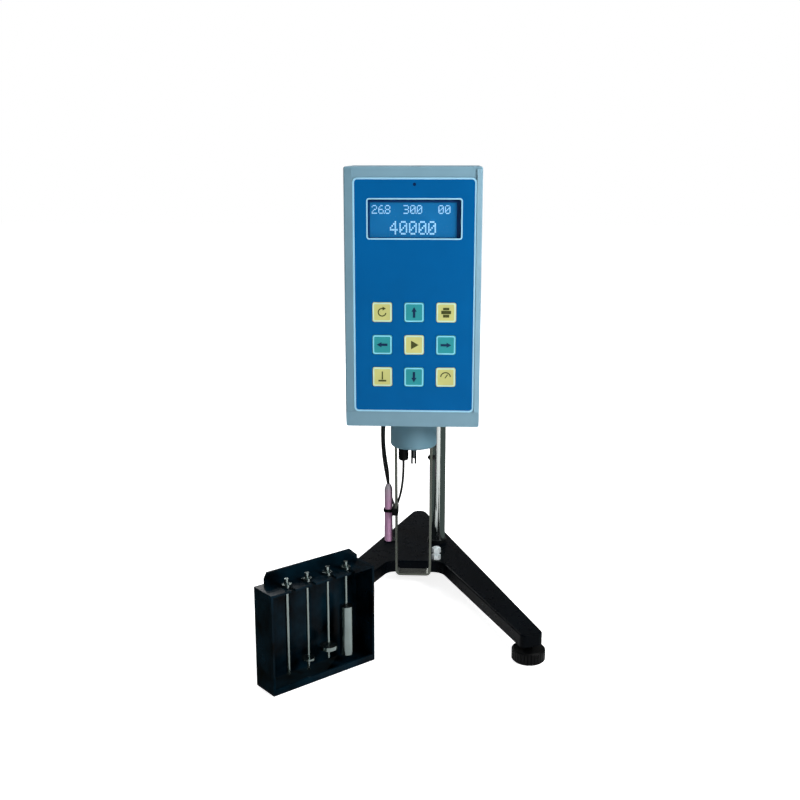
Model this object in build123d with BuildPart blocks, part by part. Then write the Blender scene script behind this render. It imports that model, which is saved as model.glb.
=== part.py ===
"""Rotational viscometer: a measuring head on a rack column over a three-footed base.

All sizes are in millimetres. +Z is up and the control panel faces -Y. The origin lies on the
table, in the middle of the space that the base and the spindle rack stand on. Places are counted
from the spindle axis, which stands at (AXIS_X, AXIS_Y), through the three plane functions below.
"""
from build123d import *
from math import atan2, cos, pi, radians, sin, sqrt, tan
import os

os.makedirs("parts", exist_ok=True)

# ---- driving dimensions ----
AXIS_X = 2.82
AXIS_Y = -10.4

BASE_LOW = 17.0
BASE_TOP = 29.5
LEG_TIP = (125.0, -121.5)
LEG_INNER_TIP = (104.5, -130.0)
CROTCH = (28.6, 50.0)
BASE_APEX_Y = 238.0
FRONT_FOOT = (111.8, -116.0)
REAR_FOOT = (0.0, 195.0)

COLUMN = (23.0, 113.0)
COLUMN_RADIUS = 9.0
COLUMN_TOP = 427.0
SPARE_SOCKET = (-31.0, 113.0)
BASE_STUD = (23.0, 58.0)

HEAD_WIDTH = 128.0
HEAD_LOW = 204.0
HEAD_TOP = 450.0
HEAD_FRONT = -45.0
HEAD_BACK = 45.0
HEAD_SPLIT = 28.0
CHIN_HEIGHT = 15.3
CHIN_SETBACK = 4.5
WALL = 2.5

PANEL_X = 1.5
PANEL_WIDTH = 114.4
PANEL_HEIGHT = 220.4
PANEL_MID_Z = 330.0
PANEL_FACE = -45.6
PANEL_THICK = 1.5
PANEL_SEAT = PANEL_FACE + PANEL_THICK

WINDOW_MID_Z = 402.7
WINDOW_WIDTH = 86.4
WINDOW_HEIGHT = 35.2
LCD_VIEW = (81.5, 32.5)
LCD_VIEW_SHIFT = (-1.2, -1.2)
KEY_SIZE = 18.5
KEY_PITCH_X = 30.1
KEY_PITCH_Z = 31.0
KEY_MID_Z = 285.0
KEY_FACE = -46.0
INDICATOR_Z = 434.0

ROD_Z = 322.0
ROD_RADIUS = 6.0
ROD_END = 146.0
CLAMP_LOW = 290.0
CLAMP_TOP = 336.0
CLAMP_FRONT = 98.0
CLAMP_BACK = 142.0
PINION_Z = 304.0
RACK_MODULE = 1.0
PINION_TEETH = 14
RACK_LINE = 7.0
MESH_PLAY = 0.1

COLLAR_RADIUS = 23.3
COLLAR_LOW = 174.0
GUARD_TOP_HALF = 19.3
GUARD_LOW_HALF = 18.25
GUARD_LOW = 36.3
GUARD_TOP = 200.0
GUARD_WIDTH = 14.0
GUARD_SHEET = 2.2
GUARD_SCREWS = ((-14.0, 0.0), (14.0, 0.0))
SIDE_SCREW_Z = 161.5

MOTOR_X = -32.0
DRIVE_MODULE = 0.8
DRIVE_TEETH = 60
MOTOR_TEETH = 20
SLEEVE_RADIUS = 4.5
SHAFT_RADIUS = 2.0
RUNNING_FIT = 0.05

PROBE = (-25.7, 0.0)
PROBE_RADIUS = 4.1
PROBE_LOW = 71.5
PROBE_SHOULDER = 128.0
PROBE_TOP = 133.0
PLUG = (-10.0, -8.0)
PLUG_LOW = 161.0
PLUG_RADIUS = 5.0
CABLE_RADIUS = 1.2

RACK_CORNER = (-114.4, -198.8)
RACK_TURN = 42.0
RACK_WIDTH = 111.2
RACK_DEPTH = 28.0
RACK_TOP = 93.7
RACK_BACK_TOP = 104.0
RACK_BACK_INSET = 10.0
RACK_SHEET = 2.0
SPINDLE_PLACES = (22.8, 44.3, 66.4, 86.9)
SPINDLE_SETBACK = 11.0


# ---- planes and outlines that several pieces share ----
def level(z, x=0.0, y=0.0):
    """Horizontal plane at height z, centred x and y from the spindle axis."""
    return Plane(origin=(AXIS_X + x, AXIS_Y + y, z), x_dir=(1, 0, 0), z_dir=(0, 0, 1))


def facing(y, x=0.0, z=0.0):
    """Upright plane that faces the user (-Y), with local y pointing up."""
    return Plane(origin=(AXIS_X + x, AXIS_Y + y, z), x_dir=(1, 0, 0), z_dir=(0, -1, 0))


def sideways(x, y=0.0, z=0.0):
    """Upright plane that faces +X, with local x pointing to the back and local y up."""
    return Plane(origin=(AXIS_X + x, AXIS_Y + y, z), x_dir=(0, 1, 0), z_dir=(1, 0, 0))


def rack_level(z, along=0.0, behind=0.0):
    """Horizontal plane in the spindle rack's own turned frame."""
    turn = radians(RACK_TURN)
    x = RACK_CORNER[0] + along * cos(turn) - behind * sin(turn)
    y = RACK_CORNER[1] + along * sin(turn) + behind * cos(turn)
    return Plane(origin=(AXIS_X + x, AXIS_Y + y, z), x_dir=(cos(turn), sin(turn), 0), z_dir=(0, 0, 1))


def keep(piece, label):
    """Name a finished piece and write it to its own file."""
    piece.part.label = label
    export_step(piece.part, "parts/" + label + ".step")


def gear_outline(module, teeth, play=0.12):
    """Closed outline of an involute spur gear, with a little backlash taken off each tooth."""
    pitch_radius = module * teeth / 2
    base_radius = pitch_radius * cos(radians(20))
    root_radius = pitch_radius - 1.2 * module
    tip_radius = pitch_radius + 0.9 * module
    half_tooth = pi / (2 * teeth) - play / (2 * pitch_radius) + tan(radians(20)) - radians(20)
    flank_start = max(root_radius, base_radius)
    radii = [flank_start, (flank_start + tip_radius) / 2, tip_radius]
    points = []
    for tooth in range(teeth):
        middle = 2 * pi * tooth / teeth
        flank = []
        for radius in radii:
            roll = sqrt(max((radius / base_radius) ** 2 - 1, 0))
            flank.append((radius, half_tooth - (roll - atan2(roll, 1))))
        root_half = flank[0][1]
        side = [(root_radius, root_half)] if root_radius < flank_start else []
        side += flank
        for radius, angle in side:
            points.append((radius * cos(middle - angle), radius * sin(middle - angle)))
        for radius, angle in reversed(side):
            points.append((radius * cos(middle + angle), radius * sin(middle + angle)))
    return points


# ---- base: cast stand with a rear lobe and two splayed legs ----
BASE_OUTLINE = [
    (0, BASE_APEX_Y),
    LEG_TIP,
    LEG_INNER_TIP,
    CROTCH,
    (-CROTCH[0], CROTCH[1]),
    (-LEG_INNER_TIP[0], LEG_INNER_TIP[1]),
    (-LEG_TIP[0], LEG_TIP[1]),
]
APEX_RADIUS = 9.0
LEG_END_RADIUS = 5.0
CROTCH_RADIUS = 14.0
BASE_RIM = 7.0
POCKET_DEPTH = 6.0
STUD_RADIUS = 4.0
FEET = [(-FRONT_FOOT[0], FRONT_FOOT[1]), FRONT_FOOT, REAR_FOOT]


with BuildPart() as base:
    with BuildSketch(level(BASE_LOW)):
        with BuildLine():
            Polyline(*BASE_OUTLINE, close=True)
        make_face()
        fillet(vertices().sort_by(Axis.Y)[-1:], APEX_RADIUS)
        fillet(vertices().sort_by(Axis.Y)[:4], LEG_END_RADIUS)
        fillet([v for v in vertices() if abs(v.Y - CROTCH[1]) < 1], CROTCH_RADIUS)
    extrude(amount=BASE_TOP - BASE_LOW)
    fillet(base.faces().sort_by(Axis.Z)[-1].edges(), 1.6)
    with BuildSketch(level(BASE_LOW)):
        with BuildLine():
            Polyline(*BASE_OUTLINE, close=True)
        make_face()
        offset(amount=-BASE_RIM, kind=Kind.INTERSECTION)
        with Locations(*FEET, COLUMN, SPARE_SOCKET, BASE_STUD):
            Circle(16.0, mode=Mode.SUBTRACT)
        with Locations((0, 30), (0, 150)):
            Rectangle(190, 4, mode=Mode.SUBTRACT)
    extrude(amount=POCKET_DEPTH, mode=Mode.SUBTRACT)
    with BuildSketch(level(BASE_LOW)):
        with Locations(*FEET):
            Circle(STUD_RADIUS + RUNNING_FIT)
    extrude(amount=9.5, mode=Mode.SUBTRACT)
    with BuildSketch(level(BASE_LOW)):
        with Locations(COLUMN):
            Circle(6.0)
        with Locations(SPARE_SOCKET):
            Circle(4.5)
        with Locations(BASE_STUD):
            Circle(2.5)
    extrude(amount=BASE_TOP - BASE_LOW, mode=Mode.SUBTRACT)
    with BuildSketch(level(BASE_LOW, *COLUMN)):
        Circle(13.0)
    extrude(amount=4.0, mode=Mode.SUBTRACT)
keep(base, "base_casting")

# ---- rings and nuts on the base ----
with BuildPart() as socket_rings:
    for place, bore, outer, height in ((COLUMN, COLUMN_RADIUS, 10.8, 4.0), (SPARE_SOCKET, 4.5, 7.2, 1.6)):
        with BuildSketch(level(BASE_TOP, *place)):
            Circle(outer)
            Circle(bore, mode=Mode.SUBTRACT)
        extrude(amount=height)
keep(socket_rings, "socket_rings")

with BuildPart() as base_nuts:
    with BuildSketch(level(BASE_LOW + 2, *BASE_STUD)):
        Circle(2.5)
    extrude(amount=BASE_TOP + 14.0 - BASE_LOW - 2)
    for nut in range(2):
        with BuildSketch(level(BASE_TOP + nut * 7.8, *BASE_STUD)):
            RegularPolygon(4.2, 6, major_radius=False)
            Circle(2.5, mode=Mode.SUBTRACT)
        extrude(amount=5.2)
keep(base_nuts, "stop_stud_nuts")

# ---- column: polished bar, waisted at its foot, with a rack cut down its back ----
RACK_TIP = RACK_LINE + 0.9 * RACK_MODULE
RACK_ROOT = RACK_LINE - 1.25 * RACK_MODULE
RACK_PITCH = pi * RACK_MODULE
RACK_LOW_GAP = PINION_Z - 12 * RACK_PITCH
RACK_GAPS = 43
GAP_TIP_HALF = RACK_PITCH / 4 + 0.9 * RACK_MODULE * tan(radians(20)) + 0.04
GAP_ROOT_HALF = RACK_PITCH / 4 - 1.25 * RACK_MODULE * tan(radians(20)) + 0.04

with BuildPart() as column:
    with BuildSketch(level(BASE_TOP, *COLUMN)):
        Circle(COLUMN_RADIUS)
    extrude(amount=COLUMN_TOP - BASE_TOP)
    chamfer(column.faces().sort_by(Axis.Z)[-1].edges(), 1.0)
    with BuildSketch(level(BASE_LOW - 8.5, *COLUMN)):
        Circle(6.0)
    extrude(amount=BASE_TOP - BASE_LOW + 8.5)
    with BuildSketch(level(RACK_LOW_GAP - 2, COLUMN[0], COLUMN[1] + RACK_TIP + 2)):
        Rectangle(20, 4)
    extrude(amount=COLUMN_TOP - RACK_LOW_GAP + 4, mode=Mode.SUBTRACT)
    with BuildSketch(sideways(COLUMN[0] - 10, COLUMN[1], RACK_LOW_GAP)):
        with GridLocations(1, RACK_PITCH, 1, RACK_GAPS, align=(Align.CENTER, Align.MIN)):
            Polygon(
                (RACK_TIP + 0.2, -GAP_TIP_HALF - 0.07),
                (RACK_ROOT, -GAP_ROOT_HALF),
                (RACK_ROOT, GAP_ROOT_HALF),
                (RACK_TIP + 0.2, GAP_TIP_HALF + 0.07),
                align=None,
            )
    extrude(amount=20, mode=Mode.SUBTRACT)
keep(column, "column")

with BuildPart() as column_nut:
    with BuildSketch(level(BASE_LOW - 6.5, *COLUMN)):
        RegularPolygon(9.0, 6, major_radius=False)
        Circle(6.0, mode=Mode.SUBTRACT)
    extrude(amount=8.0)
    with BuildSketch(level(BASE_LOW + 1.5, *COLUMN)):
        Circle(12.0)
        Circle(6.0, mode=Mode.SUBTRACT)
    extrude(amount=2.5)
keep(column_nut, "column_nut")

# ---- levelling feet: a knurled disc on a threaded stud ----
FOOT_RADIUS = 15.7
FOOT_HEIGHT = 12.0
FOOT_BEVEL = 1.4
KNURLS = 30

for label, place in zip(("foot_left", "foot_right", "foot_rear"), FEET):
    with BuildPart() as foot:
        with BuildSketch(level(0, *place)):
            Circle(FOOT_RADIUS)
            with PolarLocations(FOOT_RADIUS + 0.35, KNURLS):
                RegularPolygon(1.0, 4, mode=Mode.SUBTRACT)
        extrude(amount=FOOT_HEIGHT)
        with BuildSketch(facing(*place[::-1])):
            with BuildLine():
                Polyline(
                    (0, 0),
                    (FOOT_RADIUS - FOOT_BEVEL, 0),
                    (FOOT_RADIUS, FOOT_BEVEL),
                    (FOOT_RADIUS, FOOT_HEIGHT - FOOT_BEVEL),
                    (FOOT_RADIUS - FOOT_BEVEL, FOOT_HEIGHT),
                    (0, FOOT_HEIGHT),
                    close=True,
                )
            make_face()
        revolve(axis=Axis(level(0, *place).origin, (0, 0, 1)), mode=Mode.INTERSECT)
        with BuildSketch(level(FOOT_HEIGHT, *place)):
            Circle(STUD_RADIUS)
        extrude(amount=BASE_LOW + 5 - FOOT_HEIGHT)
    keep(foot, label)

# ---- lift clamp: a boss head bored for the column, the mounting rod and the pinion ----
PINION_Y = COLUMN[1] + RACK_LINE + RACK_MODULE * PINION_TEETH / 2 + MESH_PLAY
PINION_SHAFT = 3.0
CLAMP_LEFT = -13.0
CLAMP_RIGHT = 38.0
PINION_HALF = 7.5

with BuildPart() as lift_clamp:
    with BuildSketch(level(CLAMP_LOW)):
        with BuildLine():
            Polyline(
                (CLAMP_LEFT, CLAMP_FRONT + 2),
                (CLAMP_LEFT + 3, CLAMP_FRONT),
                (CLAMP_RIGHT - 6, CLAMP_FRONT),
                (CLAMP_RIGHT, CLAMP_FRONT + 6),
                (CLAMP_RIGHT, CLAMP_BACK),
                (CLAMP_LEFT + 22, CLAMP_BACK),
                (CLAMP_LEFT, CLAMP_BACK - 10),
                close=True,
            )
        make_face()
    extrude(amount=CLAMP_TOP - CLAMP_LOW)
    fillet(lift_clamp.edges().filter_by(Axis.Z), 2.0)
    chamfer(lift_clamp.faces().sort_by(Axis.Z)[-1].edges(), 1.0)
    with BuildSketch(level(CLAMP_LOW, *COLUMN)):
        Circle(COLUMN_RADIUS + 2.0)
    extrude(amount=CLAMP_TOP - CLAMP_LOW, mode=Mode.SUBTRACT)
    with BuildSketch(facing(CLAMP_BACK, 0, ROD_Z)):
        Circle(ROD_RADIUS + RUNNING_FIT)
    extrude(amount=CLAMP_BACK - CLAMP_FRONT, mode=Mode.SUBTRACT)
    with BuildSketch(sideways(COLUMN[0] - PINION_HALF - 0.5, PINION_Y, PINION_Z)):
        Circle(9.0)
    extrude(amount=2 * PINION_HALF + 1, mode=Mode.SUBTRACT)
    with BuildSketch(sideways(COLUMN[0] - PINION_HALF - 5, PINION_Y, PINION_Z)):
        Circle(PINION_SHAFT + RUNNING_FIT)
    extrude(amount=40, mode=Mode.SUBTRACT)
    with BuildSketch(sideways(CLAMP_RIGHT, 110, ROD_Z + 3)):
        Circle(2.5)
    extrude(amount=-10, mode=Mode.SUBTRACT)
    with BuildSketch(sideways(CLAMP_LEFT, 112, ROD_Z)):
        Circle(2.5)
    extrude(amount=12, mode=Mode.SUBTRACT)
keep(lift_clamp, "lift_clamp")

with BuildPart() as clamp_bush:
    with BuildSketch(level(CLAMP_LOW, *COLUMN)):
        Circle(COLUMN_RADIUS + 2.0)
        Circle(COLUMN_RADIUS + RUNNING_FIT, mode=Mode.SUBTRACT)
    extrude(amount=CLAMP_TOP - CLAMP_LOW)
    with BuildSketch(sideways(COLUMN[0] - 14, PINION_Y, PINION_Z)):
        Circle(9.0)
    extrude(amount=28, mode=Mode.SUBTRACT)
    with BuildSketch(sideways(COLUMN[0], 110, ROD_Z + 3)):
        Circle(2.6)
    extrude(amount=14, mode=Mode.SUBTRACT)
keep(clamp_bush, "clamp_bush")

# ---- lift shaft: the pinion on its shaft, and the knob that turns it ----
LIFT_KNOB_START = 42.0
LIFT_KNOB_LENGTH = 17.0

with BuildPart() as pinion_shaft:
    with BuildSketch(sideways(COLUMN[0] - PINION_HALF, PINION_Y, PINION_Z)):
        with BuildLine():
            Polyline(*gear_outline(RACK_MODULE, PINION_TEETH), close=True)
        make_face()
    extrude(amount=2 * PINION_HALF)
    with BuildSketch(sideways(COLUMN[0] - PINION_HALF - 4, PINION_Y, PINION_Z)):
        Circle(PINION_SHAFT)
    extrude(amount=LIFT_KNOB_START + LIFT_KNOB_LENGTH - 3 - COLUMN[0] + PINION_HALF + 4)
keep(pinion_shaft, "pinion_shaft")


def grip_knob(plane, radius, length, bore, lobes):
    """Fluted hand knob that stands on a plane, with a blind bore from that side."""
    with BuildPart() as knob:
        with BuildSketch(plane):
            Circle(radius)
            with PolarLocations(radius + 1.2, lobes):
                Circle(2.4, mode=Mode.SUBTRACT)
        extrude(amount=length)
        chamfer(knob.faces().sort_by(Axis(plane.origin, plane.z_dir))[-1].edges(), 0.8)
        if bore:
            with BuildSketch(plane):
                Circle(bore)
            extrude(amount=length - 3, mode=Mode.SUBTRACT)
    return knob


knob_plane = sideways(LIFT_KNOB_START, PINION_Y, PINION_Z)
lift_knob = grip_knob(knob_plane, 15.0, LIFT_KNOB_LENGTH, PINION_SHAFT, 12)
keep(lift_knob, "lift_knob")

# ---- lock screws on the clamp, each with a small fluted head ----
LOCK_RADIUS = 8.5
LOCK_LENGTH = 12.0

with BuildPart() as column_lock:
    add(grip_knob(sideways(CLAMP_RIGHT + 3, 110, ROD_Z + 3), LOCK_RADIUS, LOCK_LENGTH, 0, 8).part)
    with BuildSketch(sideways(CLAMP_RIGHT + 3, 110, ROD_Z + 3)):
        Circle(2.45)
    extrude(amount=-8.7)
keep(column_lock, "column_lock_screw")

with BuildPart() as rod_lock:
    rod_lock_plane = Plane(sideways(CLAMP_LEFT - 3, 112, ROD_Z).origin, x_dir=(0, -1, 0), z_dir=(-1, 0, 0))
    add(grip_knob(rod_lock_plane, LOCK_RADIUS, LOCK_LENGTH, 0, 8).part)
    with BuildSketch(rod_lock_plane):
        Circle(2.45)
    extrude(amount=-9.3)
keep(rod_lock, "rod_lock_screw")

# ---- mounting rod: flanged bar from the head's back, through the clamp ----
with BuildPart() as mounting_rod:
    with BuildSketch(facing(ROD_END, 0, ROD_Z)):
        Circle(ROD_RADIUS)
    extrude(amount=ROD_END - HEAD_BACK + 10)
    with BuildSketch(facing(HEAD_BACK + 5, 0, ROD_Z)):
        Circle(15.0)
    extrude(amount=5.0)
    chamfer(mounting_rod.faces().sort_by(Axis.Y)[-1].edges(), 1.0)
keep(mounting_rod, "mounting_rod")

# ---- front shell: the housing's face, sides and floor, open to the back ----
KEY_GRID = [
    (column_index * KEY_PITCH_X, row_index * KEY_PITCH_Z)
    for row_index in (1, 0, -1)
    for column_index in (-1, 0, 1)
]
SHELL_FLOOR = HEAD_LOW + WALL
STEM_RADIUS = 2.5

with BuildPart() as front_shell:
    with BuildSketch(sideways(-HEAD_WIDTH / 2)):
        with BuildLine():
            Polyline(
                (HEAD_FRONT, HEAD_TOP),
                (HEAD_FRONT, HEAD_LOW + CHIN_HEIGHT),
                (HEAD_FRONT + CHIN_SETBACK, HEAD_LOW),
                (HEAD_SPLIT, HEAD_LOW),
                (HEAD_SPLIT, HEAD_TOP),
                close=True,
            )
        make_face()
    extrude(amount=HEAD_WIDTH)
    fillet(front_shell.edges().filter_by(Axis.Y), 2.0)
    fillet(front_shell.faces().sort_by(Axis.Y)[0].edges(), 1.2)
    offset(amount=-WALL, openings=front_shell.faces().sort_by(Axis.Y)[-1])
    with BuildSketch(facing(PANEL_SEAT, PANEL_X, PANEL_MID_Z)):
        RectangleRounded(PANEL_WIDTH + 0.4, PANEL_HEIGHT + 0.4, 4.8)
    extrude(amount=5, mode=Mode.SUBTRACT)
    with BuildSketch(facing(HEAD_FRONT + 5, PANEL_X, WINDOW_MID_Z)):
        Rectangle(WINDOW_WIDTH + 4, WINDOW_HEIGHT + 4)
    extrude(amount=5, mode=Mode.SUBTRACT)
    with BuildSketch(facing(HEAD_FRONT + 5, PANEL_X, KEY_MID_Z)):
        with Locations(*KEY_GRID):
            Circle(STEM_RADIUS + 0.5)
        with Locations((0, INDICATOR_Z - KEY_MID_Z)):
            Circle(1.5)
    extrude(amount=5, mode=Mode.SUBTRACT)
    with BuildSketch(level(HEAD_LOW - 1)):
        Circle(12.0)
    extrude(amount=WALL + 2, mode=Mode.SUBTRACT)
    with BuildSketch(level(HEAD_TOP - WALL - 1, 0, 4)):
        Circle(9.2)
    extrude(amount=WALL + 2, mode=Mode.SUBTRACT)
keep(front_shell, "front_shell")

# ---- rear cover: the housing's back, with vents and openings for the fittings ----
INLET = (-38.0, 238.0)
SWITCH = (0.0, 238.0)
PORT = (36.0, 238.0)
COVER_SCREWS = [(sx * 55.0, sz) for sx in (-1, 1) for sz in (214.0, 440.0)]

with BuildPart() as rear_cover:
    with BuildSketch(level(HEAD_LOW)):
        with BuildLine():
            Polyline(
                (-HEAD_WIDTH / 2, HEAD_SPLIT),
                (HEAD_WIDTH / 2, HEAD_SPLIT),
                (HEAD_WIDTH / 2, HEAD_BACK),
                (-HEAD_WIDTH / 2, HEAD_BACK),
                close=True,
            )
        make_face()
    extrude(amount=HEAD_TOP - HEAD_LOW)
    fillet(rear_cover.edges().filter_by(Axis.Y), 2.0)
    fillet(rear_cover.faces().sort_by(Axis.Y)[-1].edges(), 3.0)
    with BuildSketch(facing(HEAD_BACK - WALL, 0, (HEAD_LOW + HEAD_TOP) / 2)):
        RectangleRounded(HEAD_WIDTH - 2 * WALL, HEAD_TOP - HEAD_LOW - 2 * WALL, 1.0)
    extrude(amount=HEAD_BACK - WALL - HEAD_SPLIT, mode=Mode.SUBTRACT)
    with BuildSketch(facing(HEAD_BACK + 1, 0, 0)):
        with Locations((0, ROD_Z)):
            Circle(ROD_RADIUS + 0.3)
        with Locations(*[(x, 398 + 7 * row) for x in (-26, 26) for row in range(6)]):
            SlotOverall(36, 3.0)
        with Locations(INLET):
            Rectangle(28.2, 20.2)
        with Locations(SWITCH):
            Rectangle(15.2, 21.2)
        with Locations(PORT):
            Rectangle(18.4, 9.4)
        with Locations(*COVER_SCREWS):
            Circle(1.6)
    extrude(amount=6, mode=Mode.SUBTRACT)
keep(rear_cover, "rear_cover")

with BuildPart() as cover_screws:
    with BuildSketch(facing(HEAD_BACK, 0, 0)):
        with Locations(*COVER_SCREWS):
            Circle(1.5)
    extrude(amount=8.0)
    with BuildSketch(facing(HEAD_BACK + 2, 0, 0)):
        with Locations(*COVER_SCREWS):
            Circle(3.0)
    extrude(amount=2.0)
    chamfer(cover_screws.faces().group_by(Axis.Y)[-1].edges(), 0.6)
keep(cover_screws, "cover_screws")

# ---- control panel, window, display and indicator ----
with BuildPart() as control_panel:
    with BuildSketch(facing(PANEL_SEAT, PANEL_X, PANEL_MID_Z)):
        RectangleRounded(PANEL_WIDTH, PANEL_HEIGHT, 4.6)
        with Locations((0, WINDOW_MID_Z - PANEL_MID_Z)):
            Rectangle(WINDOW_WIDTH, WINDOW_HEIGHT, mode=Mode.SUBTRACT)
        with Locations(*[(x, z + KEY_MID_Z - PANEL_MID_Z) for x, z in KEY_GRID]):
            RectangleRounded(KEY_SIZE + 0.6, KEY_SIZE + 0.6, 2.3, mode=Mode.SUBTRACT)
        with Locations((0, INDICATOR_Z - PANEL_MID_Z)):
            Circle(1.5, mode=Mode.SUBTRACT)
    extrude(amount=PANEL_THICK)
keep(control_panel, "control_panel")

with BuildPart() as display_window:
    with BuildSketch(facing(HEAD_FRONT + WALL, PANEL_X, WINDOW_MID_Z)):
        Rectangle(WINDOW_WIDTH + 3.6, WINDOW_HEIGHT + 3.6)
    extrude(amount=HEAD_FRONT + WALL - PANEL_SEAT)
keep(display_window, "display_window")

LCD_FRONT = HEAD_FRONT + WALL
LCD_DEPTH = 6.0
with BuildPart() as lcd_module:
    with BuildSketch(facing(LCD_FRONT + LCD_DEPTH, PANEL_X, WINDOW_MID_Z)):
        Rectangle(WINDOW_WIDTH + 7.6, WINDOW_HEIGHT + 6.8)
    extrude(amount=LCD_DEPTH)
    with BuildSketch(facing(LCD_FRONT + 1.6, PANEL_X, WINDOW_MID_Z)):
        with Locations(LCD_VIEW_SHIFT):
            Rectangle(*LCD_VIEW)
    extrude(amount=1.6, mode=Mode.SUBTRACT)
    with BuildSketch(facing(LCD_FRONT + LCD_DEPTH + 1.6, PANEL_X, WINDOW_MID_Z)):
        Rectangle(101.0, 50.0)
        with GridLocations(95, 44, 2, 2):
            Circle(1.4, mode=Mode.SUBTRACT)
    extrude(amount=1.6)
keep(lcd_module, "lcd_module")

with BuildPart() as indicator:
    with BuildSketch(facing(HEAD_FRONT + WALL + 3, PANEL_X, INDICATOR_Z)):
        Circle(1.5)
    extrude(amount=HEAD_FRONT + WALL + 3 - PANEL_FACE)
    with BuildSketch(facing(HEAD_FRONT + WALL + 3, PANEL_X, INDICATOR_Z)):
        Circle(2.5)
    extrude(amount=3.0)
keep(indicator, "indicator_lens")

# ---- keys: square caps in the panel's openings, each on a stem behind the shell's face ----
KEY_LABELS = (
    "key_reset", "key_up", "key_print",
    "key_left", "key_run", "key_right",
    "key_spindle", "key_down", "key_speed",
)
KEY_CAP_DEPTH = 1.1
STEM_END = -40.7

for label, (key_x, key_z) in zip(KEY_LABELS, KEY_GRID):
    with BuildPart() as key:
        with BuildSketch(facing(KEY_FACE + KEY_CAP_DEPTH, PANEL_X + key_x, KEY_MID_Z + key_z)):
            RectangleRounded(KEY_SIZE, KEY_SIZE, 2.0)
        extrude(amount=KEY_CAP_DEPTH)
        chamfer(key.faces().sort_by(Axis.Y)[0].edges(), 0.25)
        with BuildSketch(facing(STEM_END, PANEL_X + key_x, KEY_MID_Z + key_z)):
            Circle(STEM_RADIUS)
        extrude(amount=STEM_END - KEY_FACE - KEY_CAP_DEPTH)
        with BuildSketch(facing(STEM_END, PANEL_X + key_x, KEY_MID_Z + key_z)):
            Circle(STEM_RADIUS + 1.6)
        extrude(amount=1.0)
    keep(key, label)

BOARD_FRONT = -36.6
with BuildPart() as key_board:
    with BuildSketch(facing(BOARD_FRONT + 1.6, PANEL_X, KEY_MID_Z)):
        Rectangle(100.0, 96.0)
        with GridLocations(92, 88, 2, 2):
            Circle(1.6, mode=Mode.SUBTRACT)
    extrude(amount=1.6)
    with BuildSketch(facing(BOARD_FRONT, PANEL_X, KEY_MID_Z)):
        with Locations(*KEY_GRID):
            Rectangle(6.0, 6.0)
    extrude(amount=2.6)
    with BuildSketch(facing(BOARD_FRONT - 2.6, PANEL_X, KEY_MID_Z)):
        with Locations(*KEY_GRID):
            Circle(1.6)
    extrude(amount=0.9)
keep(key_board, "key_board")

# ---- drive inside the head: bracket, motor, bearings, sleeve, gears and discs ----
PLATE_LOW = SHELL_FLOOR
PLATE_THICK = 3.0
PLATE_HIGH = 256.0
BEARING_RADIUS = 8.0

with BuildPart() as drive_bracket:
    with BuildSketch(facing(HEAD_SPLIT, 0, 0)):
        with BuildLine():
            Polyline(
                (-52, PLATE_LOW),
                (18, PLATE_LOW),
                (18, PLATE_HIGH + PLATE_THICK),
                (-52, PLATE_HIGH + PLATE_THICK),
                close=True,
            )
        make_face()
    extrude(amount=48.0)
    with BuildSketch(facing(HEAD_SPLIT - 2.5, 0, (PLATE_LOW + PLATE_THICK + PLATE_HIGH) / 2)):
        Rectangle(200, PLATE_HIGH - PLATE_LOW - PLATE_THICK)
    extrude(amount=60.0, mode=Mode.SUBTRACT)
    with BuildSketch(level(PLATE_LOW)):
        Circle(BEARING_RADIUS)
        with Locations((MOTOR_X, 0)):
            Circle(11.2)
    extrude(amount=80, mode=Mode.SUBTRACT)
keep(drive_bracket, "drive_bracket")

with BuildPart() as motor:
    with BuildSketch(level(PLATE_HIGH + PLATE_THICK, MOTOR_X)):
        Rectangle(35.0, 35.0)
        chamfer(vertices(), 4.0)
    extrude(amount=34.0)
    with BuildSketch(level(PLATE_HIGH + 1, MOTOR_X)):
        Circle(11.0)
    extrude(amount=2.0)
    with BuildSketch(level(PLATE_HIGH + 1, MOTOR_X)):
        Circle(2.5 + RUNNING_FIT)
    extrude(amount=20.0, mode=Mode.SUBTRACT)
keep(motor, "motor")

with BuildPart() as bearings:
    for bearing_low in (PLATE_LOW, PLATE_HIGH - 2):
        with BuildSketch(level(bearing_low)):
            Circle(BEARING_RADIUS)
            Circle(SLEEVE_RADIUS + RUNNING_FIT, mode=Mode.SUBTRACT)
        extrude(amount=5.0)
keep(bearings, "drive_bearings")

GEAR_LOW = 238.0
with BuildPart() as motor_pinion:
    with BuildSketch(level(GEAR_LOW - 2, MOTOR_X)):
        with BuildLine():
            Polyline(*gear_outline(DRIVE_MODULE, MOTOR_TEETH), close=True)
        make_face()
    extrude(amount=9.0)
    with BuildSketch(level(GEAR_LOW - 4, MOTOR_X)):
        Circle(2.5)
    extrude(amount=38.0)
keep(motor_pinion, "motor_pinion")

with BuildPart() as drive_gear:
    gear_plane = level(GEAR_LOW).rotated((0, 0, 180 / DRIVE_TEETH + 180))
    with BuildSketch(gear_plane):
        with BuildLine():
            Polyline(*gear_outline(DRIVE_MODULE, DRIVE_TEETH), close=True)
        make_face()
        Circle(SLEEVE_RADIUS, mode=Mode.SUBTRACT)
        with PolarLocations(14.5, 5):
            Circle(5.2, mode=Mode.SUBTRACT)
    extrude(amount=5.0)
keep(drive_gear, "drive_gear")

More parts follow.
